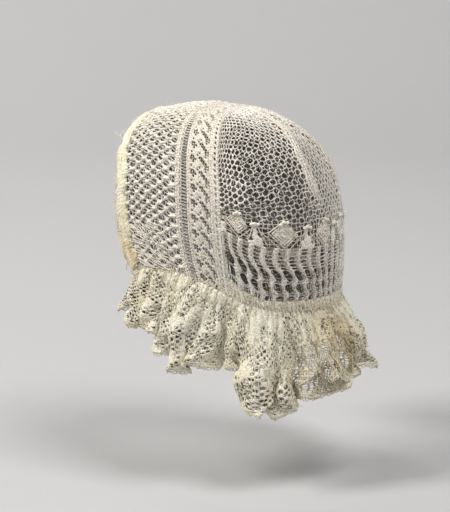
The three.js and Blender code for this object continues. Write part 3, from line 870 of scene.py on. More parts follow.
def swell(grid, holes, share, down_share=None):
    """Moves each border between a hole and a plain stitch towards the plain one."""
    down_share = share if down_share is None else down_share
    across, down = (g.copy() for g in grid)
    opened = np.asarray(holes) > 0
    toward = opened[:-1].astype(float) - opened[1:]
    wide = (across[2::2, 1::2] - across[:-2:2, 1::2])[:-1]
    across[2:-2:2, 1::2] += share * toward * wide / 2
    toward = opened[:, :-1].astype(float) - opened[:, 1:]
    tall = (down[1::2, 2::2] - down[1::2, :-2:2])[:, :-1]
    down[1::2, 2:-2:2] += down_share * toward * tall / 2
    return across, down


def loosened(grid, amount):
    """Moves all inner places a little, smoothly over a few stitches and at random."""
    across, down = (g.copy() for g in grid)
    for table, axis in ((across, 0), (down, 1)):
        step = np.abs(np.diff(table, axis=axis)).mean()
        noise = rng.normal(0, 1, table.shape)
        for k in (0, 1):
            noise = (noise + np.roll(noise, 1, k) + np.roll(noise, -1, k)) / 2
        table[1:-1, 1:-1] += amount * step * noise[1:-1, 1:-1]
    return across, down


def chessboard(rows, columns, size, spread):
    """Hole sizes: size on every second cell, with a random spread, else 0."""
    cells = (np.add.outer(np.arange(rows), np.arange(columns)) % 2) * size
    return np.where(cells > 0, np.clip(cells + rng.normal(0, spread, cells.shape), 0.3, 0.97), 0)


def brow():
    """The brow's chessboard, its cells nearly square and its knots standing proud."""
    rows = int(2 * CROWN_LENGTH / BROW_CELL)
    a = np.linspace(-0.995, 0.995, rows + 1)
    d = distance_share(np.linspace(BROW_START, BAND_START + 0.2, BROW_COLUMNS + 1))
    holes = chessboard(rows, BROW_COLUMNS, size=0.74, spread=0.10)
    grid = loosened(swell(stitch_grid(a, d), holes, 0.40), 0.28)
    work = Work("brow_lace")
    knit(work, crown, grid, holes, thick=2.4, lift=0.8, plump=1.0, corner=0.74, inner=INSIDE_PAINTED_LIGHT)
    work.done(lace_cotton, "brow_panel", 1)
    return grid, holes


def brow_threads(grid, holes):
    """Threads over the holes, knots on the stitches and pulled threads near the ears."""
    work = Work("brow_threads")
    across_holes(work, crown, grid, holes > 0, [(-0.7, -0.9, 0.5, 0.9)], lift=0.7, radius=0.32)
    # Strands painted as full shade behind the holes.
    behind = [(-0.9, y, 0.9, y + 0.06) for y in (-0.72, -0.38, -0.03, 0.32, 0.66)]
    painted_shade_strands(work, crown, grid, holes > 0, behind, lift=-0.6, radius=0.52)
    across_holes(work, crown, grid, holes == 0, [(0.1, -1.5, -0.1, 1.5)], lift=2.1, radius=KNOT,
                 crest=1.0, points=5)
    each = (PULLED_THREADS, 1)
    t = np.linspace(0, 1, 7)[None]
    pulled_a = rng.uniform(0.76, 0.97, each) + rng.uniform(0.01, 0.07, each) * t
    pulled_d = rng.uniform(0.11, 0.42, each) + rng.uniform(0.05, 0.16, each) * t
    pulled_d = np.minimum(pulled_d, distance_share(BAND_START))
    sign = np.where(np.arange(PULLED_THREADS) % 2, 1, -1)[:, None]
    lift = 2.2 + 0.7 * np.sin(np.pi * t) + rng.normal(0, 0.2, each)
    laid(work, crown, sign * np.minimum(pulled_a, 0.992), pulled_d, lift, wide=0.34, crest=0.95)
    work.done(net_cotton, "brow_panel")


brow_threads(*brow())

# %% [markdown]
# ## Band from ear to ear
# The band is given as a chart, as in a pattern book. From front to back it has a dense
# strip with a column of dots, a ladder of bare rungs, a thin plain strip, a strip of
# leaves drawn by slanting holes, and a wide dense strip at the seam. Raised lines are
# cords of chevron stitches.

# %% Band
LEAF_UNIT = 0.079
LEAVES = LEAF_UNIT * np.array([
    # one row for each column of stitches, front to back, and one place for each row
    [0, 0, 0, 0, 0, 0],
    [0, 9, 11, 0, 0, 4],
    [0, 11, 11, 9, 0, 0],
    [0, 0, 8, 0, 0, 0],
    [4, 0, 0, 0, 0, 0],
    [0, 10, 0, 0, 0, 4],
    [0, 9, 12, 0, 0, 0],
    [0, 0, 11, 12, 0, 0],
    [4, 0, 0, 11, 12, 6],
    [0, 0, 0, 0, 5, 4],
]).T
STRIPS = (
    # start and end from the band's front, pitch along it, one repeat of the chart, looks
    (-0.2, 4.8, 2.20, [[0, 0, 0], [0, 0, 0.72]], {"thick": 1.3, "lift": 0.5, "plump": 0.5}),
    (4.8, 9.8, 2.55, [[0.90]], {"thick": 2.2, "lift": 0.6, "corner": 0.94, "ratio": (0.55, 1)}),
    (9.8, 11.4, 2.20, [[0]], {"thick": 1.4, "lift": 0.6}),
    (11.4, 28.4, 1.85, LEAVES, {"thick": 1.9, "lift": 0.4, "plump": 0.6}),
    (28.4, 35.7, 2.20, [[0, 0, 0, 0], [0, 0, 0.6, 0]], {"thick": 1.4, "lift": 0.6, "plump": 0.5}),
)
LINES = (
    # distance, half width, half height
    (0.8, 1.2, 1.1), (2.6, 0.9, 0.9), (4.8, 0.6, 0.8),
    (10.6, 1.0, 1.1), (29.3, 1.0, 1.0), (34.6, 1.1, 1.2),
)


def strip(work, start, end, pitch, repeat, looks):
    """A strip of the band between two distances, with its chart repeated along the hoop."""
    rows = int(round(2 * CROWN_LENGTH / pitch))
    holes = np.array(repeat, dtype=float)[np.arange(rows) % len(repeat)]
    a = np.linspace(-0.997, 0.997, rows + 1)
    d = distance_share(np.linspace(BAND_START + start, BAND_START + end, holes.shape[1] + 1))
    grid = loosened(swell(stitch_grid(a, d), holes, 0.26), 0.10)
    knit(work, crown, grid, holes, inner=INSIDE_PAINTED_LIGHT, **looks)
    return grid, holes


def band():
    """The band's strips in one mesh, and its lines and its strands painted as shade in another."""
    work = Work("band_lace")
    strips = [strip(work, *row) for row in STRIPS]
    (ladder, rungs), (leaves, leaf_holes) = strips[1], strips[3]
    work.done(lace_cotton, "crown_band")
    lines = Work("band_lines")
    t = np.linspace(-0.998, 0.998, 760)[None]
    for distance, wide, tall in LINES:
        place = distance_share(BAND_START + distance)
        stitched(lines, crown, t, place, 0.8, wide, tall)
    # Strands painted as full shade behind the ladder's rungs and the leaves' holes.
    behind = [(0.0, -0.95, 0.0, -0.3), (0.0, -0.35, 0.0, 0.35), (0.0, 0.3, 0.0, 0.95)]
    painted_shade_strands(lines, crown, ladder, rungs > 0, behind, lift=-0.6, radius=0.42)
    behind = [(-0.8, -0.4, 0.8, -0.4), (-0.8, 0.4, 0.8, 0.4)]
    painted_shade_strands(lines, crown, leaves, leaf_holes > 0.5, behind, lift=-0.6, radius=0.32)
    lines.done(lace_cotton, "crown_band")


band()

# %% [markdown]
# ## Net over the back
# The back is an open net with small and large holes by turns. Its lower part has a row
# of close diamonds with bobbles between them. The hole sizes are a function of place:
# none in the diamonds, wider along the ladder lines round them, and alternating in the
# net. Near the crown and beside the seams every second stitch is open. A soft raised
# crease runs down each half of the back and is knitted closer.

# %% Net
NET_CELL = 3.35
NET_SHARE = 0.73
SIDE = np.array([0.00, 0.13, 0.31, 0.49, 0.70, 0.835, 1.00])
MOTIF = np.array([-0.5, 0.0, 0.5, 1.0, 1.5, 2.0, 2.45])
MOTIF_DOWN = np.array([0.720, 0.713, 0.700, 0.679, 0.640, 0.600, 0.570])
MOTIF_PITCH = 0.355 * BACK_HALF
LACE_FOOT = np.array([0.775, 0.772, 0.762, 0.745, 0.715, 0.690, 0.665])
CREASE_DOWN = np.array([0.00, 0.03, 0.26, 0.37, 0.49, 0.62])
CREASE_SIDE = np.array([0.00, 0.03, 0.12, 0.20, 0.21, 0.18])
CREASE_WIDTH = 4.8
CREASE_RISE = 1.6
DIAMOND = (10.5, 12.0)
DENSE_IN_DIAMOND = 0.78
LADDER_ROUND_DIAMOND = 1.7
APEX_RISE = 5
APEX_WIDTH = 1.3
TRIANGLE_SPREAD = 0.30
CROWN_ROWS = 0.10
OVERLAP = 0.004


def crease(across, down):
    """1 along the soft crease on each side of the back, falling off within a few mm."""
    beside = (np.abs(across) - np.interp(down, CREASE_DOWN, CREASE_SIDE)) * BACK_HALF
    soft = np.exp(-((beside / CREASE_WIDTH) ** 2))
    return soft * (1 - smooth(0.55, 0.66, down)) * smooth(-0.02, 0.12, down)


def net_holes(across, down, even):
    """Hole sizes of the back: the net's alternation, closed up in diamonds and crease."""
    side = np.abs(across)
    u = np.interp(side, SIDE, MOTIF)
    v = (down - np.interp(side, SIDE, MOTIF_DOWN)) * BACK_DOWN
    from_diamond = np.abs(u - np.round(u)) * MOTIF_PITCH / DIAMOND[0] + np.abs(v) / DIAMOND[1]
    from_apex = np.abs(u - np.floor(u) - 0.5) * MOTIF_PITCH
    below = v + APEX_RISE
    triangle = np.where(below > 0, from_apex / (APEX_WIDTH + TRIANGLE_SPREAD * below), 9)
    dense = (from_diamond < DENSE_IN_DIAMOND) | (triangle < 0.9)
    around = (from_diamond < LADDER_ROUND_DIAMOND) | (triangle < 2.2)
    ladder = ~dense & around & (v > -9)
    net = np.where(even, 0.90, 0.42) * (1 - 0.55 * crease(across, down))
    net = np.where(ladder, np.where(even, 0.86, 0.78), net)
    return np.where(dense, 0.0, net)


def back_lace():
    """The back panel down to the waves, as one knitted mesh with strands painted as shade behind."""
    rows = int(2 * BACK_HALF / NET_CELL)
    columns = int(BACK_DOWN * NET_SHARE / NET_CELL)
    a, d = np.linspace(-1, 1, rows + 1), np.linspace(0, 1, columns + 1)
    across, share = stitch_grid(a * (0.76 + 0.24 * a * a), d)
    down = -OVERLAP + share * (OVERLAP + np.interp(np.abs(across), SIDE, LACE_FOOT))
    i, j = np.meshgrid(np.arange(rows), np.arange(columns), indexing="ij")
    cell_across, cell_down = across[1::2, 1::2], down[1::2, 1::2]
    even = (i + j) % 2 == 0
    holes = net_holes(cell_across, cell_down, even)
    holes = np.where(holes > 0, np.clip(holes + rng.normal(0, 0.10, holes.shape), 0.30, 0.96), 0)
    top = cell_down < CROWN_ROWS
    flat = (np.abs(cell_across) > 0.72) & (cell_down < 0.52) & ~top
    every_second = np.where(even, 0.93 - 0.3 * crease(cell_across, cell_down), 0)
    holes = np.where(flat | top, every_second, holes)
    grid = swell((across, down), (holes > 0.62) & ~flat & ~top, 0.36)
    grid = swell(swell(grid, flat & even, 0.05, 0.80), top & even, 0.75, 0.15)
    grid = loosened(grid, 0.36)
    work = Work("back_net")
    relief = CREASE_RISE * crease(*grid)
    knit(work, back, grid, holes, thick=1.5, lift=0.6, plump=0.7, relief=relief)
    below_bobbles = cell_down > np.interp(np.abs(cell_across), SIDE, MOTIF_DOWN) - 0.02
    # Strands painted as full shade behind the large holes under the bobbles.
    behind = [(-0.8, -0.3, 0.8, -0.3), (-0.8, 0.3, 0.8, 0.3)]
    large = (holes > 0.7) & below_bobbles
    painted_shade_strands(work, back, grid, large, behind, lift=-0.9, radius=0.40)
    work.done(net_cotton, "back_panel")


back_lace()

# %% [markdown]
# Where the real net is raised, a line of stitches runs over it: three lines along each
# crease, and thin ones on the diamonds and down the triangles under them. A place beside
# a motif is given in millimetres and turned into a place on the chart. The diamonds are
# loops of different sizes, of which some show only a part or only every second point.

# %% Raised lines of the net
CREASE_LINES = (-2.3, 0.2, 2.6)
LOOPS = (
    # size of the loop, the part of its 49 points, half width of the cord
    (0.92, slice(None), 0.5), (1.30, slice(0, 25), 0.36), (0.70, slice(0, 49, 2), 0.85),
    (0.46, slice(0, 49, 2), 0.85), (0.22, slice(0, 49, 4), 0.85),
)
CORNERS_X = (-1, 0, 1, 0, -1)
CORNERS_Y = (0, 1, 0, -1, 0)


def beside_motif(motif, beside, below):
    """Chart place at millimetres beside and below a motif's middle."""
    side = np.clip(np.interp(motif + beside / MOTIF_PITCH, MOTIF, SIDE), 0.0, 0.995)
    return side, np.interp(side, SIDE, MOTIF_DOWN) + below / BACK_DOWN


def back_ribs():
    """Cords of chevron stitches along the crease, on the diamonds and down the triangles."""
    work = Work("back_ribs")
    down = np.linspace(0.01, 0.585, 170)[None]
    middle = np.interp(down, CREASE_DOWN, CREASE_SIDE)
    wide = (1 - smooth(0.50, 0.585, down) * 0.7) * smooth(-0.05, 0.10, down)
    t = np.linspace(0, 4, 49)[None]
    corner_x, corner_y = (np.interp(t, range(5), k) for k in (CORNERS_X, CORNERS_Y))
    fall = np.linspace(0, 1, 15)[None]
    for sign in (-1, 1):
        for shift in CREASE_LINES:
            a = sign * (middle + (shift + 0.4 * np.sin(60 * down + shift)) / BACK_HALF)
            lift = 1.1 + CREASE_RISE * crease(a, down)
            stitched(work, back, a, down, lift, wide, 0.8 * wide)
        for motif in (0, 1, 2):
            for grown, part, size in LOOPS:
                beside, below = grown * DIAMOND[0] * corner_x, grown * DIAMOND[1] * corner_y
                a, d = beside_motif(motif, beside, below)
                d = np.minimum(d, np.interp(a, SIDE, LACE_FOOT))
                a, d = sign * a[:, part], d[:, part]
                stitched(work, back, a, d, 1.4, size, 0.9 * size, crest=0.9)
        for motif in (0, 1):
            for way in (-1, 1):
                beside = way * (APEX_WIDTH + 5.8 * fall)
                a, d = beside_motif(motif + 0.5, beside, 16 * fall - APEX_RISE)
                stitched(work, back, sign * a, d, 1.5, wide=0.42, tall=0.4, crest=0.9)
    work.done(lace_cotton, "back_panel")


back_ribs()

# %% [markdown]
# A bobble is several stitches worked into one and drawn together again, so it stands out
# as a round knot. Three of them lie in a row above each diamond and each triangle. Each
# is a short cord whose thickness follows a half circle, and one subdivision rounds it.

# %% Bobbles
BOBBLE_STEP = 2.5
BOBBLE_SIZE = 1.55


def bobbles():
    """Three knots in a row, the middle one the largest: a half circle turned round a path."""
    work = Work("back_bobbles")
    t = np.linspace(0, 1, 7)[None]
    round_end = np.sqrt(1 - (0.96 * (2 * t - 1)) ** 2)
    for motif in np.arange(-0.5, 2.1, 0.5):
        side = np.interp(motif, MOTIF, SIDE)
        rise = 10.0 if motif == int(motif) else 6.5
        down = np.interp(side, SIDE, MOTIF_DOWN) - rise / BACK_DOWN
        for sign in (-1, 1):
            for k in (-1, 0, 1):
                size = BOBBLE_SIZE - 0.25 * abs(k) + rng.uniform(-0.12, 0.12)
                a = sign * side + (k * BOBBLE_STEP + 2 * size * (t - 0.5)) / BACK_HALF
                d = down + (0.9 * k * k + rng.uniform(-0.5, 0.5)) / BACK_DOWN
                laid(work, back, a, d, lift=2.4, wide=size * round_end, sides=8, crest=1.0)
    work.done(bobble_cotton, "back_panel", 1)


bobbles()

# %% [markdown]
# ## Waves
# Below the diamonds the lace stands in upright ribs that sway from side to side. Between
# two ribs runs a slot with a big round hole at each bend and small bars between. A grid
# whose columns are shifted by a smooth curve of the height gives the sway, and a table
# of rows gives their heights and how large and how tall their holes are.

# %% Waves
WAVE_PITCH = 9.0
RIB_SHARE = 0.38
BIG_ROW = 4.0
UPPER_ROWS = 4
WAVE_ROWS = np.array([
    # height, hole, ratio down
    (3.0, 0.85, 0.70),
    (3.0, 0.92, 0.70),
    (3.0, 0.92, 0.70),
    (3.0, 0.92, 0.70),
    (3.0, 0.85, 0.70),
    (2.6, 0.72, 0.70),
    (8.6, 0.92, 0.95),
    (2.6, 0.74, 0.70),
    (7.6, 0.92, 0.95),
    (2.6, 0.72, 0.70),
    (5.2, 0.90, 0.90),
])
WAVE_LEAN = np.array([(0.0, 0.0), (0.22, -1.6), (0.42, 2.2), (0.56, 6.6), (0.70, 4.4),
                      (0.84, 7.8), (1.0, 7.0)])


def waves():
    """Ribs and slots by turns: two narrow plain columns, then one wide pierced column."""
    heights, sizes, ratios = WAVE_ROWS.T
    ribs = int(round(2 * BACK_HALF / WAVE_PITCH))
    rib, slot = [RIB_SHARE / 2], [1 - RIB_SHARE]
    widths = np.array((2 * rib + slot) * ribs + rib)
    a = -1 + 2 * np.concatenate([[0], np.cumsum(widths)]) / widths.sum()
    across, share = stitch_grid(a, np.concatenate([[0], np.cumsum(heights)]) / heights.sum())
    side = np.abs(across)
    foot = np.interp(side, SIDE, LACE_FOOT)
    down = foot - 0.006 + (1.010 - foot) * share
    lean = along(WAVE_LEAN, share) / BACK_HALF
    lean = lean * smooth(0.0, 0.35, side) * smooth(0.0, 0.12, 1 - side)
    across = across - np.sign(across) * lean
    column, row = np.meshgrid(np.arange(len(widths)), np.arange(len(heights)), indexing="ij")
    pierced = column % 3 == 2
    big = pierced & (heights[row] > BIG_ROW)
    holes = np.where(pierced, sizes[row], 0.0)
    ratio = (np.where(heights[row] > BIG_ROW, 0.96, 0.88), ratios[row])
    relief = np.zeros(across.shape)
    relief[2::6] = 1.0
    relief[1::6] = relief[3::6] = 0.5
    grid = loosened(swell((across, down), big, 0.55), 0.05)
    work = Work("wave_lace")
    knit(work, back, grid, holes, thick=2.0, lift=0.6, plump=0.3, corner=0.82, relief=relief,
         ratio=ratio)
    work.done(wave_cotton, "wave_border", 1)
    threads = Work("wave_threads")
    lines = [(-0.9, -0.4, 0.9, 0.1), (-0.9, 0.5, 0.9, 0.3)]
    threaded = big & (rng.random(big.shape) < 0.7)
    across_holes(threads, back, grid, threaded, lines, lift=0.5, radius=0.20)
    # Strands painted as full shade behind the lower slots.
    behind = [(x, -0.8, x + 0.06, 0.8) for x in (-0.5, -0.16, 0.16, 0.5)]
    painted_shade_strands(threads, back, grid, pierced & (row > UPPER_ROWS), behind, lift=-1.2, radius=0.50)
    threads.done(wave_cotton, "wave_border")


waves()

# %% [markdown]
# ## Gathered nape
# At the neck the back is drawn in on a thread, so the cloth stands in tight upright
# pleats with hardly a hole. Each pleat is a cord of chevron stitches on a plain ground.
# The pleats differ in width and taper to the gather line, and short hairs cover them.

# %% Nape
PLEAT_PITCH = 3.4
NAPE_CELL = 2.2
NAPE_ROWS = 6


def gathered_nape():
    """A plain ground and a row of upright cords, each a pleat."""
    work = Work("nape_pleats")
    cells = int(2 * BACK_HALF / NAPE_CELL)
    a, d = np.linspace(-1, 1, cells + 1), np.linspace(0, 1, NAPE_ROWS + 1)
    holes = np.where(rng.random((cells, NAPE_ROWS)) < 0.12, 0.5, 0)
    knit(work, nape, loosened(stitch_grid(a, d), 0.15), holes, thick=1.2, lift=0.5, plump=0.6)
    count = int(2 * BACK_HALF / PLEAT_PITCH)
    root = np.linspace(-0.99, 0.99, count)[:, None] + rng.normal(0, 0.006, (count, 1))
    t = np.linspace(-0.02, 1.0, 26)[None]
    path_a = root + 0.004 * np.sin(5 * t + 9 * root)
    lift = 0.5 + 0.9 * np.sin(np.pi * np.clip(t, 0, 1)) * rng.uniform(0.2, 1.4, (count, 1))
    path_a = path_a + rng.normal(0, 0.006, (count, 1)) * np.sin(np.pi * t)
    wide = 0.9 * rng.uniform(0.6, 1.25, (count, 1)) * (1 - 0.65 * smooth(0.7, 1.0, t))
    laid(work, nape, path_a, t, lift, wide, sides=8, pattern=chevrons, crest=0.95)
    hairs(work, nape, 450, (-1, 1), (-0.05, 1), lift=1.3, reach=2.4)
    work.done(nape_cotton, "nape_gather")


gathered_nape()

# %% [markdown]
# ## Ruffle
# The ruffle is a finer, looser lace, gathered at the top and cast off along its lower
# edge, where small points stand. Uneven ridges run down it, with eyelets in the valleys,
# and one part near the middle of the back is worn to a sheer web. Loose threads run down
# it, and strands painted as full shade lie behind its holes at the sides. It is one cloth,
# and the size it would have pressed flat is worked out and printed; the cord and points
# of its edge are a separate piece that goes with it.

# %% Ruffle
RUFFLE_ACROSS = 250
RUFFLE_DOWN = 31
SHEER_AT = 0.08
SHEER_WIDTH = 0.15
LOOSE_THREADS = 1500
MOST_OPEN = 0.93
EDGE_POINTS = 460
EDGE_CORDS = ((0.985, 0.2, 0.85), (0.955, 0.7, 0.6))


def valleys(column, row):
    """1 in the valleys between the ridges and 0 on them, at uneven distances."""
    wave = 2 * np.pi * column / 6.1 + 1.9 * np.sin(column / 8)
    return 0.5 + 0.5 * np.sin(wave + 1.3 * np.sin(column / 23 + row / 9))


def even_columns(count):
    """Places across the ruffle, closer to each other where its lower edge is longer."""
    steps = np.linalg.norm(np.diff(ruffle.points[:, -1], axis=0), axis=1)
    share = np.concatenate([[0], np.cumsum(steps / steps.sum() + 1 / len(steps))]) / 2
    return np.interp(np.linspace(0, 1, count + 1), share, np.linspace(-1, 1, len(share)))


def ruffle_holes(sheer, column, row):
    """Eyelets in the valleys and in patches, larger towards the edge, and the sheer web."""
    holes = chessboard(RUFFLE_ACROSS, RUFFLE_DOWN, size=0.30, spread=0.20)
    patch = np.sin(column / 5.1 + 2.0 * np.sin(row / 5.0))
    patch = patch * np.sin(row / 3.9 + 1.7 * np.sin(column / 9.0))
    more = 0.38 * valleys(column, row) + 0.06 * smooth(0.3, 0.8, row / RUFFLE_DOWN) + 0.36 * patch
    holes = np.where(holes > 0, np.clip(holes - 0.02 + 1.15 * more, 0.05, MOST_OPEN), 0)
    holes = np.where(holes > 0, np.minimum(holes, 0.92 - 0.2 * sheer), 0.50 * (sheer > 0.4))
    chance = sheer + rng.normal(0, 0.12, holes.shape)
    holes = np.where(chance > 0.62, 0.78 + 0.12 * ((column + row) % 2), holes)
    ragged = 2.5 + 2.5 * np.sin(column / 4.3) + 1.5 * np.sin(column / 1.7)
    return np.where((row < ragged) | (row > RUFFLE_DOWN - 2) | (holes < 0.36), 0, holes)


def ruffle_lace():
    """The ruffle's cloth: ridges and valleys with eyelets, in one knitted mesh."""
    a, d = even_columns(RUFFLE_ACROSS), np.linspace(0, 1, RUFFLE_DOWN + 1) ** 0.92
    column, row = (np.arange(n) for n in (RUFFLE_ACROSS, RUFFLE_DOWN))
    column, row = np.meshgrid(column, row, indexing="ij")
    sheer = np.exp(-(((a[:-1][:, None] - SHEER_AT) / SHEER_WIDTH) ** 2))
    sheer = sheer * smooth(0.15, 0.4, row / RUFFLE_DOWN)
    holes = ruffle_holes(sheer, column, row)
    grid = loosened(swell(stitch_grid(a, d), holes > 0.5, 0.30), 0.55)
    ridge_a, ridge_d = np.indices(grid[0].shape) / 2
    ridge = 1 - valleys(ridge_a, ridge_d)
    relief = 1.5 * ridge * smooth(0, 4, ridge_d) + 1.3 * (1 - smooth(0, 5, ridge_d))
    # Painted shade in the valleys: the outer face is painted darker there.
    painted_outer_light = 1 - 0.36 * valleys(ridge_a, ridge_d)
    work = Work("ruffle_lace")
    # In the sheer web the rings' painted shade is lifted: painted light for light through thin cloth.
    knit(work, ruffle, grid, holes, thick=1.4, lift=-0.4, plump=0.5, corner=0.78, relief=relief,
         thin=0.7 * sheer, painted_outer_light=painted_outer_light)
    return work.done(ruffle_cotton, "neck_ruffle"), a, grid, holes


def ruffle_threads(a, grid, holes):
    """Loose threads down the ruffle, and strands painted as shade behind the holes at its sides."""
    work = Work("ruffle_threads")
    each = (LOOSE_THREADS, 1)
    t = np.linspace(0, 1, 6)[None]
    start = rng.uniform(0.02, 0.86, each)
    down = start + rng.uniform(0.08, 0.42, each) * t
    path_a = rng.uniform(-0.995, 0.995, each) + 0.006 * rng.normal(0, 1, each) * np.sin(4 * t)
    path_a = path_a + rng.normal(0, 0.014, each) * t
    down = np.clip(down, 0, 0.985)
    ridge = 1 - valleys(np.interp(path_a, a, np.arange(len(a))), down * RUFFLE_DOWN)
    thin = 0.36 * rng.uniform(0.6, 1.4, each) * (1 - 0.5 * t)
    laid(work, ruffle, path_a, down, 0.2 + 1.5 * ridge, thin, crest=1.0)
    near_side = (holes > 0.5) & (np.abs(a[:-1][:, None]) > 0.22)
    # Strands painted as full shade behind the holes at the sides.
    behind = [(-0.7, -0.34, 0.7, -0.26), (-0.7, 0.3, 0.7, 0.36)]
    painted_shade_strands(work, ruffle, grid, near_side, behind, lift=-1.2, radius=0.44)
    work.done(ruffle_cotton, "neck_ruffle")


def ruffle_edge():
    """The cast-off cords along the lower edge, with a small loop at every stitch."""
    work = Work("ruffle_edge")
    each = (EDGE_POINTS, 1)
    root = np.linspace(-0.998, 0.998, EDGE_POINTS)[:, None] + rng.normal(0, 0.0006, each)
    place = root + np.array([[-0.6, -0.5, 0.0, 0.5, 0.6]]) / 210
    drop = np.array([[0.985, 1.0, 1.0, 1.0, 0.985]]) + 0 * root
    path = ruffle.place(place, drop)
    path[:, 1:4, 2] -= np.array([0.9, 1.7, 0.9]) * rng.uniform(0.5, 1.5, each)
    yarn(work, path, ruffle.up(place, drop), 0.42, 0.42, crest=0.95)
    t = np.linspace(-0.999, 0.999, 1600)[None]
    for down, lift, radius in EDGE_CORDS:
        stitched(work, ruffle, t, down, lift, radius, 0.85 * radius)
    return work.done(ruffle_cotton, "neck_ruffle")


ruffle_piece, *open_lace = ruffle_lace()
ruffle_threads(*open_lace)
edge_piece = ruffle_edge()
flat_width = length_of(ruffle.points[:, -1]) * MM
fall_lengths = np.linalg.norm(np.diff(ruffle.points, axis=1), axis=-1).sum(axis=1)
flat = (round(flat_width, 3), round(fall_lengths.mean() * MM, 3))
print("ruffle pressed flat", *flat, "m")

# %% [markdown]
# Where the ruffle is sewn on, pulled threads fan out over its gathers. Many of them
# start on the nape or the panels above the line. Hairs stand there and along the edge.

# %% Threads over the gather line
GATHER_THREADS = 530
PULL_RISE = 6.5


def gather_threads():
    """Fine cords that start at or above the gather line and fan out below it."""
    work = Work("gather_threads")
    each = (GATHER_THREADS, 1)
    root = rng.uniform(-0.99, 0.99, each)
    t = np.linspace(0, 1, 7)[None]
    start = np.where(rng.random(each) < 0.6, -0.02, rng.uniform(0.0, 0.14, each))
    down = start + rng.uniform(0.04, 0.20, each) * t
    across = root + rng.normal(0, 0.020, each) * t + 0.004 * np.sin(7 * t + 40 * root)
    lift = 0.9 + 0.9 * np.sin(np.pi * t) + rng.normal(0, 0.25, each)
    radius = 0.33 * (1 - 0.6 * t) * rng.uniform(0.7, 1.2, each)
    below = np.clip(down, 0, 1)
    path = ruffle.place(across, below, lift)
    path[..., 2] += PULL_RISE * rng.uniform(0.2, 1.3, each) * (1 - t) ** 3 * (start < 0.04)
    yarn(work, path, ruffle.up(across, below), radius, radius, crest=0.95)
    hairs(work, ruffle, 600, (-1, 1), (0.0, 0.25), lift=0.8, reach=2.4)
    hairs(work, ruffle, 900, (-1, 1), (0.93, 1.0), lift=0.2, reach=2.2)
    work.done(nape_cotton, "neck_ruffle")


gather_threads()

# %% [markdown]
# ## Floor, light and camera
# A pale round of paper lies under the cap and turns up all round it. Two soft lights of
# much the same strength stand above, the first one warmer and to the left, and a third
# lights the wall behind. The room adds a little from all round, so the inside of the cap
# stays darker than its face. The camera looks from behind the wearer's left ear, a
# little from above, with a long lens.

# %% Stage
CENTRE = Vector((0, 0, -CROWN_HEIGHT)) * MM
AZIMUTH, ELEVATION = np.radians(120), np.radians(12)
TO_CAMERA = Vector((np.sin(AZIMUTH) * np.cos(ELEVATION), -np.cos(AZIMUTH) * np.cos(ELEVATION),
                    np.sin(ELEVATION)))
RIGHT = Vector((0, 0, 1)).cross(TO_CAMERA).normalized()
UP = TO_CAMERA.cross(RIGHT)
FLOOR_HEIGHT = -0.285
PAPER = (0.53, 0.528, 0.527, 1)


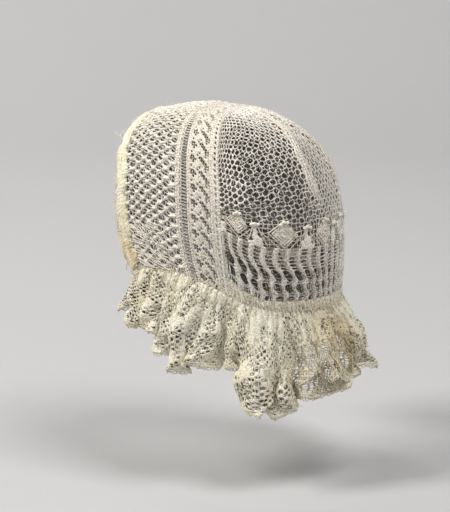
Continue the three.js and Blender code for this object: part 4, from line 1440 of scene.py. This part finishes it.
def sweep():
    """A round floor that turns up into a wall on a quarter circle, turned about the middle."""
    bend = np.linspace(0, np.pi / 2, 17)[:, None]
    reach = np.concatenate([[[0.1]], 1.5 + 1.1 * np.sin(bend), [[2.6]]])
    height = FLOOR_HEIGHT + np.concatenate([[[0.0]], 1.1 - 1.1 * np.cos(bend), [[4.0]]])
    turned = np.linspace(0, 2 * np.pi, 96, endpoint=False)
    points = [reach * np.cos(turned), reach * np.sin(turned), height + 0 * turned]
    points = np.stack(points, -1)
    index = np.arange(points[..., 0].size).reshape(points.shape[:2])
    a, b = index[:-1], index[1:]
    faces = np.stack([a, b, np.roll(b, -1, axis=1), np.roll(a, -1, axis=1)], -1).reshape(-1, 4)
    mesh = bpy.data.meshes.new("paper_sweep")
    mesh.from_pydata(points.reshape(-1, 3).tolist(), [], faces.tolist() + [index[0].tolist()])
    mesh.polygons.foreach_set("use_smooth", np.ones(len(mesh.polygons), dtype=bool))
    paper = bpy.data.materials.new("pale_paper")
    paper.use_nodes = True
    shader = paper.node_tree.nodes["Principled BSDF"]
    shader.inputs["Base Color"].default_value = PAPER
    shader.inputs["Roughness"].default_value = 0.9
    mesh.materials.append(paper)
    floor = bpy.data.objects.new("paper_sweep", mesh)
    bpy.context.scene.collection.objects.link(floor)


def lamp(name, across, up, toward, size, watts, colour=(1, 1, 1), aim=CENTRE):
    """A square soft light at a place given along the camera's right, up and back."""
    data = bpy.data.lights.new(name, "AREA")
    data.size = size
    data.energy = watts
    data.color = colour
    light = bpy.data.objects.new(name, data)
    place = CENTRE + RIGHT * across + UP * up + TO_CAMERA * toward
    turn = (aim - place).to_track_quat("-Z", "Y").to_matrix().to_4x4()
    light.matrix_world = Matrix.Translation(place) @ turn
    bpy.context.scene.collection.objects.link(light)


sweep()
lamp("key_light", -1.3, 1.2, 0.7, size=0.6, watts=28, colour=(1.0, 0.98, 0.95))
lamp("side_light", 0.7, 1.6, 1.0, size=0.9, watts=25)
wall = CENTRE - TO_CAMERA * 2.2 + UP * 1.3
lamp("wall_light", -0.8, 1.9, -0.6, size=0.8, watts=24, aim=wall)
room = bpy.data.worlds.new("room")
room.use_nodes = True
room.node_tree.nodes["Background"].inputs["Color"].default_value = (1, 1, 1, 1)
room.node_tree.nodes["Background"].inputs["Strength"].default_value = 0.10
bpy.context.scene.world = room
bpy.context.scene.view_settings.view_transform = "Standard"

# %% Camera
DISTANCE = 2.0
FRAME_HEIGHT = 0.406
AIM_BELOW = 0.024
SENSOR = 36
view = bpy.data.cameras.new("camera")
view.sensor_width = SENSOR
view.lens = SENSOR * DISTANCE / FRAME_HEIGHT
view.clip_end = 20
camera = bpy.data.objects.new("camera", view)
turn = Matrix((RIGHT, UP, TO_CAMERA)).transposed().to_4x4()
place = CENTRE - UP * AIM_BELOW + TO_CAMERA * DISTANCE
camera.matrix_world = Matrix.Translation(place) @ turn
bpy.context.scene.collection.objects.link(camera)
bpy.context.scene.camera = camera
